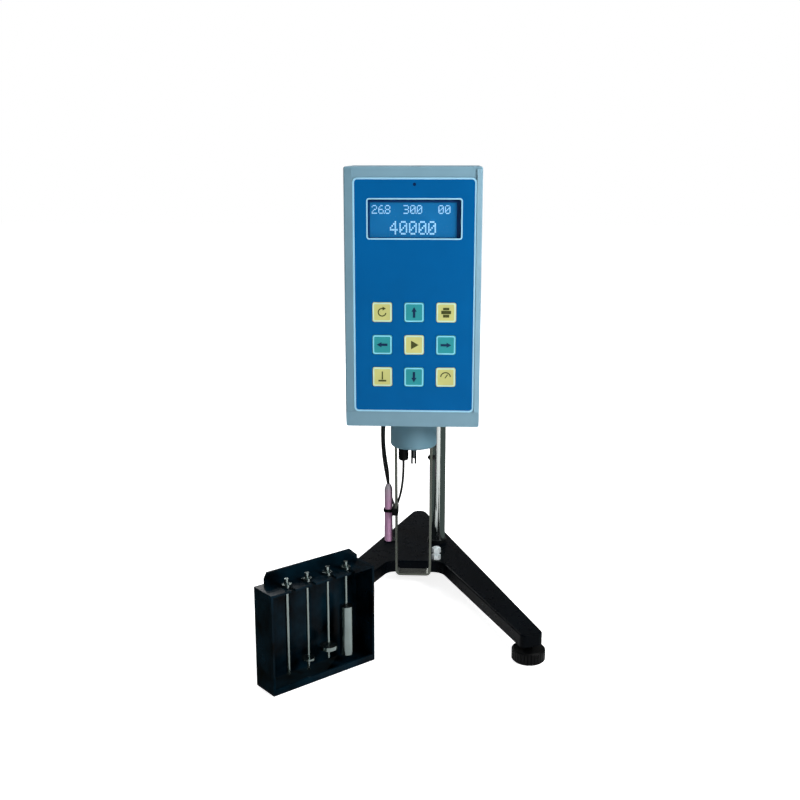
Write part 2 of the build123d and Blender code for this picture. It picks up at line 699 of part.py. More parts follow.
SLEEVE_TOP = 262.0
with BuildPart() as drive_sleeve:
    with BuildSketch(level(HEAD_LOW - 2)):
        Circle(SLEEVE_RADIUS)
    extrude(amount=SLEEVE_TOP - HEAD_LOW + 2)
    with BuildSketch(level(SLEEVE_TOP - 2)):
        Circle(13.0)
    extrude(amount=2.0)
    with BuildSketch(level(SLEEVE_TOP, 0, 11.3)):
        Circle(0.9)
    extrude(amount=8.0)
    with BuildSketch(level(HEAD_LOW - 2)):
        Circle(SHAFT_RADIUS + RUNNING_FIT)
    extrude(amount=SLEEVE_TOP - HEAD_LOW + 2, mode=Mode.SUBTRACT)
keep(drive_sleeve, "drive_sleeve")

with BuildPart() as encoder_disc:
    with BuildSketch(level(224.0)):
        Circle(22.0)
        Circle(SLEEVE_RADIUS, mode=Mode.SUBTRACT)
        with PolarLocations(19.5, 24):
            Rectangle(3.0, 1.4, mode=Mode.SUBTRACT)
    extrude(amount=0.8)
keep(encoder_disc, "encoder_disc")

# ---- measuring shaft: runs inside the sleeve and hangs on the spiral hairspring ----
SHAFT_TOP = 276.0
COUPLING_TOP = 171.0
COUPLING_LOW = 155.0
COUPLING_SLOT = 6.0
COUPLING_BORE = 1.4

with BuildPart() as spindle_shaft:
    with BuildSketch(level(COUPLING_TOP - 3)):
        Circle(SHAFT_RADIUS)
    extrude(amount=SHAFT_TOP - COUPLING_TOP + 3)
    with BuildSketch(level(SHAFT_TOP - 4)):
        Circle(12.0)
        with PolarLocations(7.5, 4):
            Circle(2.2, mode=Mode.SUBTRACT)
    extrude(amount=1.0)
keep(spindle_shaft, "spindle_shaft")

with BuildPart() as hairspring:
    with BuildSketch(level(266.0)):
        Circle(3.6)
        Circle(SHAFT_RADIUS, mode=Mode.SUBTRACT)
    extrude(amount=2.0)
    with BuildSketch(level(266.2)):
        for turn_radius in (5.4, 7.2, 9.0):
            Circle(turn_radius)
            Circle(turn_radius - 0.4, mode=Mode.SUBTRACT)
        Rectangle(19.0, 0.6)
        Circle(3.0, mode=Mode.SUBTRACT)
    extrude(amount=1.6)
keep(hairspring, "hairspring")

with BuildPart() as coupling:
    with BuildSketch(level(COUPLING_TOP)):
        Circle(2.75)
    extrude(amount=COUPLING_LOW - COUPLING_TOP)
    with BuildSketch(level(COUPLING_TOP - 3)):
        Circle(SHAFT_RADIUS)
    extrude(amount=3, mode=Mode.SUBTRACT)
    with BuildSketch(level(COUPLING_LOW)):
        Rectangle(1.8, 8.0)
    extrude(amount=COUPLING_SLOT, mode=Mode.SUBTRACT)
    with BuildSketch(level(COUPLING_LOW)):
        Circle(COUPLING_BORE)
    extrude(amount=COUPLING_SLOT + 6.0, mode=Mode.SUBTRACT)
keep(coupling, "spindle_coupling")

# ---- collar: hollow cup under the head that carries the guard and the probe's socket ----
with BuildPart() as collar:
    with BuildSketch(sideways(0)):
        with BuildLine():
            Polyline(
                (0, HEAD_LOW),
                (COLLAR_RADIUS, HEAD_LOW),
                (COLLAR_RADIUS, COLLAR_LOW),
                (0, COLLAR_LOW),
                close=True,
            )
        make_face()
        fillet(vertices().sort_by(Axis.Y)[:2].sort_by(Axis.X)[-1:], 4.0)
    revolve(axis=Axis((AXIS_X, AXIS_Y, 0), (0, 0, 1)))
    with BuildSketch(level(COLLAR_LOW)):
        Circle(COLLAR_RADIUS - 1.7)
    extrude(amount=HEAD_LOW - 4 - COLLAR_LOW, mode=Mode.SUBTRACT)
    with BuildSketch(level(HEAD_LOW)):
        Circle(SLEEVE_RADIUS + 1.5)
        with Locations(*GUARD_SCREWS):
            Circle(1.5)
    extrude(amount=-6, mode=Mode.SUBTRACT)
keep(collar, "collar")

# ---- guard: one strip bent to a U around the measuring spindle ----
TAB_INNER = 11.0
with BuildPart() as guard:
    with BuildSketch(facing(GUARD_WIDTH / 2)):
        with BuildLine():
            Polyline(
                (-GUARD_TOP_HALF, GUARD_TOP),
                (GUARD_TOP_HALF, GUARD_TOP),
                (GUARD_LOW_HALF, GUARD_LOW),
                (-GUARD_LOW_HALF, GUARD_LOW),
                close=True,
            )
        make_face()
        fillet(vertices().sort_by(Axis.Y)[:2], 5.0)
    extrude(amount=GUARD_WIDTH)
    with BuildSketch(facing(GUARD_WIDTH / 2)):
        with BuildLine():
            Polyline(
                (-GUARD_TOP_HALF + GUARD_SHEET, GUARD_TOP - GUARD_SHEET),
                (GUARD_TOP_HALF - GUARD_SHEET, GUARD_TOP - GUARD_SHEET),
                (GUARD_LOW_HALF - GUARD_SHEET, GUARD_LOW + GUARD_SHEET),
                (-GUARD_LOW_HALF + GUARD_SHEET, GUARD_LOW + GUARD_SHEET),
                close=True,
            )
        make_face()
        fillet(vertices().sort_by(Axis.Y)[:2], 5.0 - GUARD_SHEET)
        with Locations((0, GUARD_TOP)):
            Rectangle(2 * TAB_INNER, 6)
    extrude(amount=GUARD_WIDTH, mode=Mode.SUBTRACT)
    with BuildSketch(level(GUARD_TOP - GUARD_SHEET)):
        with Locations(*GUARD_SCREWS):
            Circle(1.5)
    extrude(amount=GUARD_SHEET, mode=Mode.SUBTRACT)
    with BuildSketch(level(GUARD_TOP - GUARD_SHEET, *PLUG)):
        Circle(PLUG_RADIUS + 0.4)
    extrude(amount=GUARD_SHEET, mode=Mode.SUBTRACT)
    with BuildSketch(sideways(0, 0, SIDE_SCREW_Z)):
        Circle(1.25)
    extrude(amount=30, mode=Mode.SUBTRACT)
keep(guard, "guard")

with BuildPart() as guard_screws:
    with BuildSketch(level(GUARD_TOP - GUARD_SHEET)):
        with Locations(*GUARD_SCREWS):
            Circle(2.6)
    extrude(amount=-2.0)
    with BuildSketch(level(GUARD_TOP - GUARD_SHEET)):
        with Locations(*GUARD_SCREWS):
            Circle(1.5)
    extrude(amount=5.0)
    with BuildSketch(sideways(14.2, 0, SIDE_SCREW_Z)):
        Circle(1.25)
    extrude(amount=7.0)
    with BuildSketch(sideways(19.2, 0, SIDE_SCREW_Z)):
        Circle(2.4)
    extrude(amount=3.4)
    chamfer(guard_screws.faces().sort_by(Axis.X)[-1].edges(), 0.5)
    with BuildSketch(sideways(15.0, 0, SIDE_SCREW_Z)):
        RegularPolygon(2.2, 6, major_radius=False)
    extrude(amount=1.7)
keep(guard_screws, "guard_screws")

# ---- fittings on the head ----
with BuildPart() as bubble_level:
    with BuildSketch(level(HEAD_TOP - 8, 0, 4)):
        Circle(9.0)
    extrude(amount=7.8)
    with BuildSketch(level(HEAD_TOP - 8, 0, 4)):
        Circle(11.0)
    extrude(amount=8 - WALL - 0.2)
keep(bubble_level, "bubble_level")

with BuildPart() as power_inlet:
    with BuildSketch(facing(HEAD_BACK + 1.5, *INLET)):
        RectangleRounded(34.0, 24.0, 2.0)
    extrude(amount=1.5)
    with BuildSketch(facing(HEAD_BACK, *INLET)):
        Rectangle(28.0, 20.0)
    extrude(amount=15.0)
    with BuildSketch(facing(HEAD_BACK + 1.5, *INLET)):
        Rectangle(24.0, 16.0)
        chamfer(vertices().group_by(Axis.Y)[-1], 4.0)
    extrude(amount=13.0, mode=Mode.SUBTRACT)
    with BuildSketch(facing(HEAD_BACK - 3, *INLET)):
        with Locations((-7, -2), (0, 2), (7, -2)):
            Rectangle(2.0, 4.0)
    extrude(amount=9.0)
keep(power_inlet, "power_inlet")

with BuildPart() as switch_frame:
    with BuildSketch(facing(HEAD_BACK + 1.5, *SWITCH)):
        Rectangle(19.0, 25.0)
    extrude(amount=1.5)
    with BuildSketch(facing(HEAD_BACK, *SWITCH)):
        Rectangle(15.0, 21.0)
    extrude(amount=14.0)
    with BuildSketch(facing(HEAD_BACK + 1.5, *SWITCH)):
        Rectangle(12.0, 18.0)
    extrude(amount=11.0, mode=Mode.SUBTRACT)
keep(switch_frame, "switch_frame")

ROCKER_TILT = 8.0
with BuildPart() as rocker:
    with BuildSketch(sideways(-5.6, HEAD_BACK - 2.5, SWITCH[1])):
        with BuildLine():
            Polyline((0, -8.2), (4.6, -7.6), (3.2, 0), (4.6, 7.6), (0, 8.2), (-5.5, 2.0), (-5.5, -2.0), close=True)
        make_face()
    extrude(amount=11.2)
    rocker_axis = Axis((AXIS_X, AXIS_Y + HEAD_BACK - 2.5, SWITCH[1]), (1, 0, 0))
tilted_rocker = rocker.part.rotate(rocker_axis, ROCKER_TILT)
with BuildPart() as power_rocker:
    add(tilted_rocker)
keep(power_rocker, "power_rocker")

with BuildPart() as serial_port:
    with BuildSketch(facing(HEAD_BACK + 1.0, *PORT)):
        RectangleRounded(31.0, 12.5, 1.0)
        with Locations((-12.5, 0), (12.5, 0)):
            Circle(1.6, mode=Mode.SUBTRACT)
    extrude(amount=1.0)
    with BuildSketch(facing(HEAD_BACK + 6.0, *PORT)):
        Trapezoid(17.0, 8.4, 80)
    extrude(amount=16.0)
    with BuildSketch(facing(HEAD_BACK + 6.0, *PORT)):
        Trapezoid(15.8, 7.2, 80)
    extrude(amount=5.0, mode=Mode.SUBTRACT)
keep(serial_port, "serial_port")

# ---- temperature probe: plug, cable, clip, body and cap ----
with BuildPart() as plug:
    with BuildSketch(level(PLUG_LOW, *PLUG)):
        Circle(PLUG_RADIUS)
    extrude(amount=HEAD_LOW - 4 - PLUG_LOW)
    chamfer(plug.faces().sort_by(Axis.Z)[0].edges(), 1.2)
keep(plug, "probe_plug")

with BuildPart() as probe:
    with BuildSketch(sideways(PROBE[0], PROBE[1])):
        with BuildLine():
            Polyline(
                (0, PROBE_LOW),
                (PROBE_RADIUS - 0.9, PROBE_LOW),
                (PROBE_RADIUS, PROBE_LOW + 0.9),
                (PROBE_RADIUS, PROBE_SHOULDER),
                (0, PROBE_SHOULDER),
                close=True,
            )
        make_face()
    revolve(axis=Axis((AXIS_X + PROBE[0], AXIS_Y + PROBE[1], 0), (0, 0, 1)))
keep(probe, "temperature_probe")

with BuildPart() as probe_cap:
    with BuildSketch(sideways(PROBE[0], PROBE[1])):
        with BuildLine():
            Polyline(
                (0, PROBE_SHOULDER),
                (PROBE_RADIUS - 0.3, PROBE_SHOULDER),
                (PROBE_RADIUS - 0.5, PROBE_SHOULDER + 1.5),
                (1.9, PROBE_TOP),
                (0, PROBE_TOP),
                close=True,
            )
        make_face()
    revolve(axis=Axis((AXIS_X + PROBE[0], AXIS_Y + PROBE[1], 0), (0, 0, 1)))
keep(probe_cap, "probe_cap")

CLIP_Z = 105.0
with BuildPart() as probe_clip:
    with BuildSketch(level(CLIP_Z - 1.5, *PROBE)):
        Circle(PROBE_RADIUS + 1.1)
    extrude(amount=3.0)
    with BuildSketch(level(CLIP_Z - 3.5, -18.6)):
        Rectangle(6.0, 17.0)
    extrude(amount=7.0)
    with BuildSketch(level(CLIP_Z - 1.5, -21.4)):
        Rectangle(3.4, 4.0)
    extrude(amount=3.0)
    with BuildSketch(level(CLIP_Z - 5, *PROBE)):
        Circle(PROBE_RADIUS)
    extrude(amount=10.0, mode=Mode.SUBTRACT)
    with BuildSketch(facing(GUARD_WIDTH / 2)):
        with BuildLine():
            Polyline(
                (-GUARD_TOP_HALF, GUARD_TOP),
                (-GUARD_TOP_HALF + GUARD_SHEET, GUARD_TOP - GUARD_SHEET),
                (-GUARD_LOW_HALF + GUARD_SHEET, GUARD_LOW + GUARD_SHEET),
                (-GUARD_LOW_HALF, GUARD_LOW),
                close=True,
            )
        make_face()
    extrude(amount=GUARD_WIDTH, mode=Mode.SUBTRACT)
keep(probe_clip, "probe_clip")

# The cable leaves the plug, turns back behind the probe, hangs over the mounting rod and comes
# down to the probe's cap. Each point is one turn of the route, counted from the spindle axis.
CABLE_ROUTE = [
    (-10.0, -8.0, 161.0),
    (-10.0, -8.0, 148.0),
    (-11.3, -4.0, 134.0),
    (-13.4, 4.0, 121.5),
    (-16.2, 12.0, 110.5),
    (-18.8, 19.5, 103.0),
    (-21.6, 28.0, 101.0),
    (-24.4, 35.0, 105.5),
    (-27.0, 38.5, 114.5),
    (-29.4, 36.5, 127.0),
    (-31.6, 32.5, 142.0),
    (-33.5, 31.5, 158.0),
    (-34.6, 35.0, 178.0),
    (-34.2, 46.0, 195.0),
    (-31.4, 56.0, 214.0),
    (-26.0, 60.0, 240.0),
    (-19.0, 61.0, 268.0),
    (-13.0, 61.3, 292.0),
    (-10.3, 61.0, 311.0),
    (-9.0, 61.0, 324.7),
    (-3.7, 61.5, 330.0),
    (3.7, 62.0, 330.0),
    (9.0, 62.5, 324.7),
    (10.3, 63.2, 311.0),
    (8.5, 64.0, 292.0),
    (2.0, 64.5, 268.0),
    (-9.0, 63.5, 244.0),
    (-20.5, 60.0, 224.0),
    (-28.5, 52.5, 207.0),
    (-31.3, 41.0, 193.0),
    (-31.9, 27.0, 180.0),
    (-30.7, 13.5, 168.0),
    (-28.2, 4.0, 155.5),
    (-25.7, 0.0, 143.5),
    (-25.7, 0.0, 133.0),
]


def route_radii(points):
    """Each corner's arc: 0.45 of the shorter run, divided by the tangent of half the turn."""
    radii = []
    for before, corner, after in zip(points, points[1:], points[2:]):
        run_in = Vector(*corner) - Vector(*before)
        run_out = Vector(*after) - Vector(*corner)
        half_turn = radians(run_in.get_angle(run_out) / 2)
        radii.append(0.45 * min(run_in.length, run_out.length) / tan(half_turn))
    return radii


cable_points = [(AXIS_X + x, AXIS_Y + y, z) for x, y, z in CABLE_ROUTE]
cable_radii = route_radii(cable_points)
cable_start = Vector(*cable_points[0])
cable_way = Vector(*cable_points[1]) - cable_start
with BuildPart() as cable:
    with BuildLine() as cable_path:
        FilletPolyline(*cable_points, radius=cable_radii)
    with BuildSketch(Plane(origin=cable_start, z_dir=cable_way)):
        Circle(CABLE_RADIUS)
    sweep(path=cable_path.wires()[0])
keep(cable, "probe_cable")
cable_length = cable_path.wires()[0].length
print("cable radii", [round(radius, 1) for radius in cable_radii])
cable_ratio = cable.part.volume / (pi * CABLE_RADIUS**2 * cable_length)
print("cable length", round(cable_length, 1), "volume ratio", round(cable_ratio, 4))

# ---- spindle rack: folded sheet case, open to the front, with a slotted top plate ----
SLOT_HALF = 2.2
LIP_HEIGHT = 6.0

with BuildPart() as rack:
    with BuildSketch(rack_level(0)):
        Rectangle(RACK_WIDTH, RACK_DEPTH, align=(Align.MIN, Align.MIN))
    extrude(amount=RACK_TOP)
    with BuildSketch(rack_level(RACK_SHEET, RACK_SHEET, -1)):
        Rectangle(RACK_WIDTH - 2 * RACK_SHEET, RACK_DEPTH - RACK_SHEET + 1, align=(Align.MIN, Align.MIN))
    extrude(amount=RACK_TOP - 2 * RACK_SHEET, mode=Mode.SUBTRACT)
    with BuildSketch(rack_level(0, 0, 0)):
        Rectangle(RACK_WIDTH, RACK_SHEET, align=(Align.MIN, Align.MIN))
    extrude(amount=LIP_HEIGHT)
    back_plane = rack_level(0, 0, RACK_DEPTH)
    with BuildSketch(Plane(back_plane.origin, x_dir=back_plane.x_dir, z_dir=-back_plane.y_dir)):
        with BuildLine():
            Polyline(
                (RACK_BACK_INSET, RACK_TOP - 4),
                (RACK_BACK_INSET, RACK_TOP + 5),
                (RACK_BACK_INSET + 3, RACK_BACK_TOP),
                (RACK_WIDTH - 8, RACK_BACK_TOP),
                (RACK_WIDTH, RACK_TOP + 3),
                (RACK_WIDTH, RACK_TOP - 4),
                close=True,
            )
        make_face()
    extrude(amount=RACK_SHEET)
    with BuildSketch(rack_level(RACK_TOP - RACK_SHEET - 1)):
        for place in SPINDLE_PLACES:
            with Locations((place, SPINDLE_SETBACK / 2 - 1)):
                Rectangle(2 * SLOT_HALF, SPINDLE_SETBACK + 2)
            with Locations((place, SPINDLE_SETBACK)):
                Circle(SLOT_HALF)
    extrude(amount=RACK_SHEET + 2, mode=Mode.SUBTRACT)
keep(rack, "spindle_rack")

# ---- the four measuring spindles, each a turned profile that hangs by its coupling head ----
HEAD_SEAT = RACK_TOP + 0.1
HEAD_PROFILE = [
    (0, HEAD_SEAT + 7),
    (2.0, HEAD_SEAT + 7),
    (2.0, HEAD_SEAT + 2.2),
    (4.5, HEAD_SEAT + 2.2),
    (4.5, HEAD_SEAT),
]
SPINDLE_PROFILES = {
    "spindle_1": [(1.75, HEAD_SEAT), (1.75, 10.5), (0.9, 9.0), (0, 9.0)],
    "spindle_2": [(1.4, HEAD_SEAT), (1.4, 19.6), (6.0, 19.6), (6.0, 18.0), (1.4, 18.0), (1.4, 7.5), (0, 7.5)],
    "spindle_3": [(1.4, HEAD_SEAT), (1.4, 27.5), (8.1, 25.0), (8.1, 21.5), (1.4, 21.5), (1.4, 12.5), (0, 12.5)],
    "spindle_4": [
        (1.4, HEAD_SEAT),
        (1.4, 60.0),
        (6.2, 57.5),
        (6.2, 10.5),
        (5.2, 9.5),
        (1.2, 9.5),
        (1.2, 6.5),
        (0, 6.5),
    ],
}
for (label, profile), place in zip(SPINDLE_PROFILES.items(), SPINDLE_PLACES):
    centre = rack_level(0, place, SPINDLE_SETBACK)
    with BuildPart() as spindle:
        with BuildSketch(Plane(centre.origin, x_dir=(1, 0, 0), z_dir=(0, -1, 0))):
            with BuildLine():
                Polyline(*HEAD_PROFILE, *profile, close=True)
            make_face()
        revolve(axis=Axis(centre.origin, (0, 0, 1)))
    keep(spindle, label)
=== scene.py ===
"""Rotational viscometer: the finish of every piece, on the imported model's own frame."""
import math

import bpy
import numpy as np
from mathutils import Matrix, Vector


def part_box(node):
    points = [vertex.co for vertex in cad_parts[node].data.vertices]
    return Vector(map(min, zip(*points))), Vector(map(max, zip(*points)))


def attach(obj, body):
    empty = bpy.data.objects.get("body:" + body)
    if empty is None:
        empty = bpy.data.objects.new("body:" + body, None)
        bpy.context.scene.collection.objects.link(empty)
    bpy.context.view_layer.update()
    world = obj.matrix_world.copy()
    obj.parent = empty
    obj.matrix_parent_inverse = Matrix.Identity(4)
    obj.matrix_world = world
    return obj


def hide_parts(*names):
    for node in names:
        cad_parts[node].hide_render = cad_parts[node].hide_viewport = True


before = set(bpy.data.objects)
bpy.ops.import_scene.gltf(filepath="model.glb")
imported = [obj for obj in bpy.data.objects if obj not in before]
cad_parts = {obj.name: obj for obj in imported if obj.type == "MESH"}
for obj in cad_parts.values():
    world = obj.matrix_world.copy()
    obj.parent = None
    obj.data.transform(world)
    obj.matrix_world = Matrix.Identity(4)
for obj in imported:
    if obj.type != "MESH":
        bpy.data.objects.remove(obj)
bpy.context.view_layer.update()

# ---- Camera ----
# A 48 mm lens on a 36 mm frame, a metre in front of the head and a little above it. It looks
# down by 13 degrees and turns slightly to the left. Its place is counted from the spindle axis.
CAMERA_FROM_AXIS = (0.0351, -1.0395, 0.462)
LOOK_DOWN = math.radians(13.05)
LOOK_LEFT = math.radians(2.70)
LENS = 47.97

coupling_low, coupling_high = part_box("spindle_coupling")
AXIS = np.array([(coupling_low.x + coupling_high.x) / 2, (coupling_low.y + coupling_high.y) / 2, 0.0])
camera = bpy.data.objects.new("camera", bpy.data.cameras.new("camera"))
bpy.context.scene.collection.objects.link(camera)
camera.data.lens = LENS
camera.data.sensor_width = 36.0
camera.location = AXIS + CAMERA_FROM_AXIS
view_line = Vector((
    -math.sin(LOOK_LEFT) * math.cos(LOOK_DOWN),
    math.cos(LOOK_LEFT) * math.cos(LOOK_DOWN),
    -math.sin(LOOK_DOWN),
))
camera.rotation_euler = view_line.to_track_quat("-Z", "Y").to_euler()
bpy.context.scene.camera = camera
bpy.context.scene.view_settings.view_transform = "Standard"

# ---- Studio: floor, backdrop light and lamps ----
# White seamless paper in a dim room. A soft box stands near the head on its right, a weak one far
# left, one overhead and one at the back. Dark flags at the sides, seen only in reflections, draw
# the metal's edges.
FLOOR_SIZE = 12.0
PAPER_WHITE = "#ffffff"
PAPER_MATT = "#f2f2f2"
PAPER_GLOW = 0.84
ROOM_LIGHT = 0.2
ROOM_MIRRORED = 0.08
BACKDROP_SIDE_FADE = (-0.15, 0.35)
BACKDROP_TOP_FADE = (0.06, 0.2)
FLAG_GREY = "#4c5553"
SOFT_BOXES = (
    ("box_right", (0.85, -0.6, 0.72), 0.4, 12.5),
    ("box_left", (-1.5, -1.2, 0.9), 0.9, 3.0),
    ("box_top", (0.2, 0.1, 1.9), 1.0, 8.0),
    ("box_back", (-0.8, 1.4, 0.9), 0.8, 16.0),
)
LAMP_AIM = (0, 0, 0.28)
FLAG_LEFT = -0.32
FLAG_LEFT_FRONT = -1.25
FLAG_RIGHT = 0.5
FLAG_RIGHT_FRONT = -0.53
FLAG_BACK = 0.7
FLAG_TOP = 0.9
FLAG_FOOT = 0.002
FLOOR_FLAG_LEFT = -0.02
FLOOR_FLAG_RIGHT = 0.05
FLOOR_FLAG_FRONT = 0.06
FLAGS = (
    ("flag_left", [
        (FLAG_LEFT, FLAG_LEFT_FRONT, 0), (FLAG_LEFT, FLAG_BACK, 0),
        (FLAG_LEFT, FLAG_BACK, FLAG_TOP), (FLAG_LEFT, FLAG_LEFT_FRONT, FLAG_TOP),
    ]),
    ("flag_right", [
        (FLAG_RIGHT, FLAG_RIGHT_FRONT, 0), (FLAG_RIGHT, FLAG_BACK, 0),
        (FLAG_RIGHT, FLAG_BACK, FLAG_TOP), (FLAG_RIGHT, FLAG_RIGHT_FRONT, FLAG_TOP),
    ]),
    ("floor_flag_left", [
        (FLAG_LEFT, FLAG_LEFT_FRONT, FLAG_FOOT), (FLOOR_FLAG_LEFT, FLOOR_FLAG_FRONT, FLAG_FOOT),
        (FLOOR_FLAG_LEFT, FLAG_BACK, FLAG_FOOT), (FLAG_LEFT, FLAG_BACK, FLAG_FOOT),
    ]),
    ("floor_flag_right", [
        (FLOOR_FLAG_RIGHT, FLOOR_FLAG_FRONT, FLAG_FOOT), (FLAG_RIGHT, FLAG_RIGHT_FRONT, FLAG_FOOT),
        (FLAG_RIGHT, FLAG_BACK, FLAG_FOOT), (FLOOR_FLAG_RIGHT, FLAG_BACK, FLAG_FOOT),
    ]),
)


def linear(hex_colour):
    """sRGB hex to linear RGBA: each channel over 255, then the sRGB curve undone."""
    channels = np.array([int(hex_colour[i:i + 2], 16) for i in (1, 3, 5)]) / 255.0
    bright = ((channels + 0.055) / 1.055) ** 2.4
    return (*np.where(channels <= 0.04045, channels / 12.92, bright).tolist(), 1.0)


def add_node(tree, kind, links=None, values=None, **settings):
    """Add a node, set its attributes, fill its inputs with values, and join sockets to its inputs."""
    node = tree.nodes.new(kind)
    for name, value in settings.items():
        setattr(node, name, value)
    for name, value in (values or {}).items():
        node.inputs[name].default_value = value
    for name, socket in (links or {}).items():
        tree.links.new(socket, node.inputs[name])
    return node


def blank_material(name):
    """A material with an empty node tree."""
    material = bpy.data.materials.new(name)
    material.use_nodes = True
    material.node_tree.nodes.clear()
    return material, material.node_tree


world = bpy.data.worlds.new("studio")
bpy.context.scene.world = world
world.use_nodes = True
sky = world.node_tree
sky.nodes.clear()
ray = add_node(sky, "ShaderNodeLightPath")
way = add_node(sky, "ShaderNodeTexCoord")
way_parts = add_node(sky, "ShaderNodeSeparateXYZ", {0: way.outputs["Generated"]})
behind = add_node(sky, "ShaderNodeMapRange", {"Value": way_parts.outputs["Y"]},
                  {"From Min": BACKDROP_SIDE_FADE[0],
                   "From Max": BACKDROP_SIDE_FADE[1]}, interpolation_type="SMOOTHSTEP")
below_the_edge = add_node(sky, "ShaderNodeMapRange", {"Value": way_parts.outputs["Z"]},
                          {"From Min": BACKDROP_TOP_FADE[0], "From Max": BACKDROP_TOP_FADE[1],
                           "To Min": 1.0, "To Max": 0.0},
                          interpolation_type="SMOOTHSTEP")
backdrop_seen = add_node(sky, "ShaderNodeMath", {0: behind.outputs[0], 1: below_the_edge.outputs[0]},
                         operation="MULTIPLY")
backdrop_share = add_node(sky, "ShaderNodeMapRange", {"Value": backdrop_seen.outputs[0]},
                          {"To Min": ROOM_MIRRORED, "To Max": 1.0})
mirrored = add_node(sky, "ShaderNodeMath",
                    {0: ray.outputs["Is Glossy Ray"], 1: ray.outputs["Is Transmission Ray"]},
                    operation="MAXIMUM")
lit = add_node(sky, "ShaderNodeMix", {0: mirrored.outputs[0], 3: backdrop_share.outputs[0]}, {2: ROOM_LIGHT})
strength = add_node(sky, "ShaderNodeMix", {0: ray.outputs["Is Camera Ray"], 2: lit.outputs[0]}, {3: 1.0})
backdrop = add_node(sky, "ShaderNodeBackground", {"Strength": strength.outputs[0]},
                    {"Color": linear(PAPER_WHITE)})
add_node(sky, "ShaderNodeOutputWorld", {"Surface": backdrop.outputs[0]})

paper, tree = blank_material("seamless_paper")
ray = add_node(tree, "ShaderNodeLightPath")
straight = add_node(tree, "ShaderNodeMath",
                    {0: ray.outputs["Is Camera Ray"], 1: ray.outputs["Is Transmission Ray"]},
                    operation="MAXIMUM")
glow_level = add_node(tree, "ShaderNodeMath", {0: straight.outputs[0]}, {1: PAPER_GLOW}, operation="MULTIPLY")
matt = add_node(tree, "ShaderNodeBsdfDiffuse", values={"Color": linear(PAPER_MATT)})
glow = add_node(tree, "ShaderNodeEmission", {"Strength": glow_level.outputs[0]},
                {"Color": linear(PAPER_WHITE)})
paper_face = add_node(tree, "ShaderNodeAddShader", {0: matt.outputs[0], 1: glow.outputs[0]})
add_node(tree, "ShaderNodeOutputMaterial", {"Surface": paper_face.outputs[0]})

floor_mesh = bpy.data.meshes.new("floor")
half = FLOOR_SIZE / 2
floor_mesh.from_pydata([(-half, -half, 0), (half, -half, 0), (half, half, 0), (-half, half, 0)], [],
                       [(0, 1, 2, 3)])
floor = bpy.data.objects.new("floor", floor_mesh)
floor.data.materials.append(paper)
bpy.context.scene.collection.objects.link(floor)

flag_cloth, tree = blank_material("dark_flag")
flag_light = add_node(tree, "ShaderNodeEmission", values={"Color": linear(FLAG_GREY)})
add_node(tree, "ShaderNodeOutputMaterial", {"Surface": flag_light.outputs[0]})
for name, corners in FLAGS:
    flag_mesh = bpy.data.meshes.new(name)
    flag_mesh.from_pydata(corners, [], [(0, 1, 2, 3)])
    flag = bpy.data.objects.new(name, flag_mesh)
    flag.data.materials.append(flag_cloth)
    flag.visible_camera = flag.visible_diffuse = flag.visible_transmission = flag.visible_shadow = False
    bpy.context.scene.collection.objects.link(flag)

for name, place, size, power in SOFT_BOXES:
    lamp = bpy.data.lights.new(name, "AREA")
    lamp.shape = "SQUARE"
    lamp.size = size
    lamp.energy = power
    lamp_object = bpy.data.objects.new(name, lamp)
    lamp_object.location = place
    lamp_object.rotation_euler = (Vector(LAMP_AIM) - Vector(place)).to_track_quat("-Z", "Y").to_euler()
    bpy.context.scene.collection.objects.link(lamp_object)

# ---- Base ----
# A grey-iron casting, filled, rubbed down and sprayed with gloss black enamel. The film follows
# the casting's slow waves, 15 mm or so across, and shows fine dust in it.
BASE_BLACK = "#03060a"


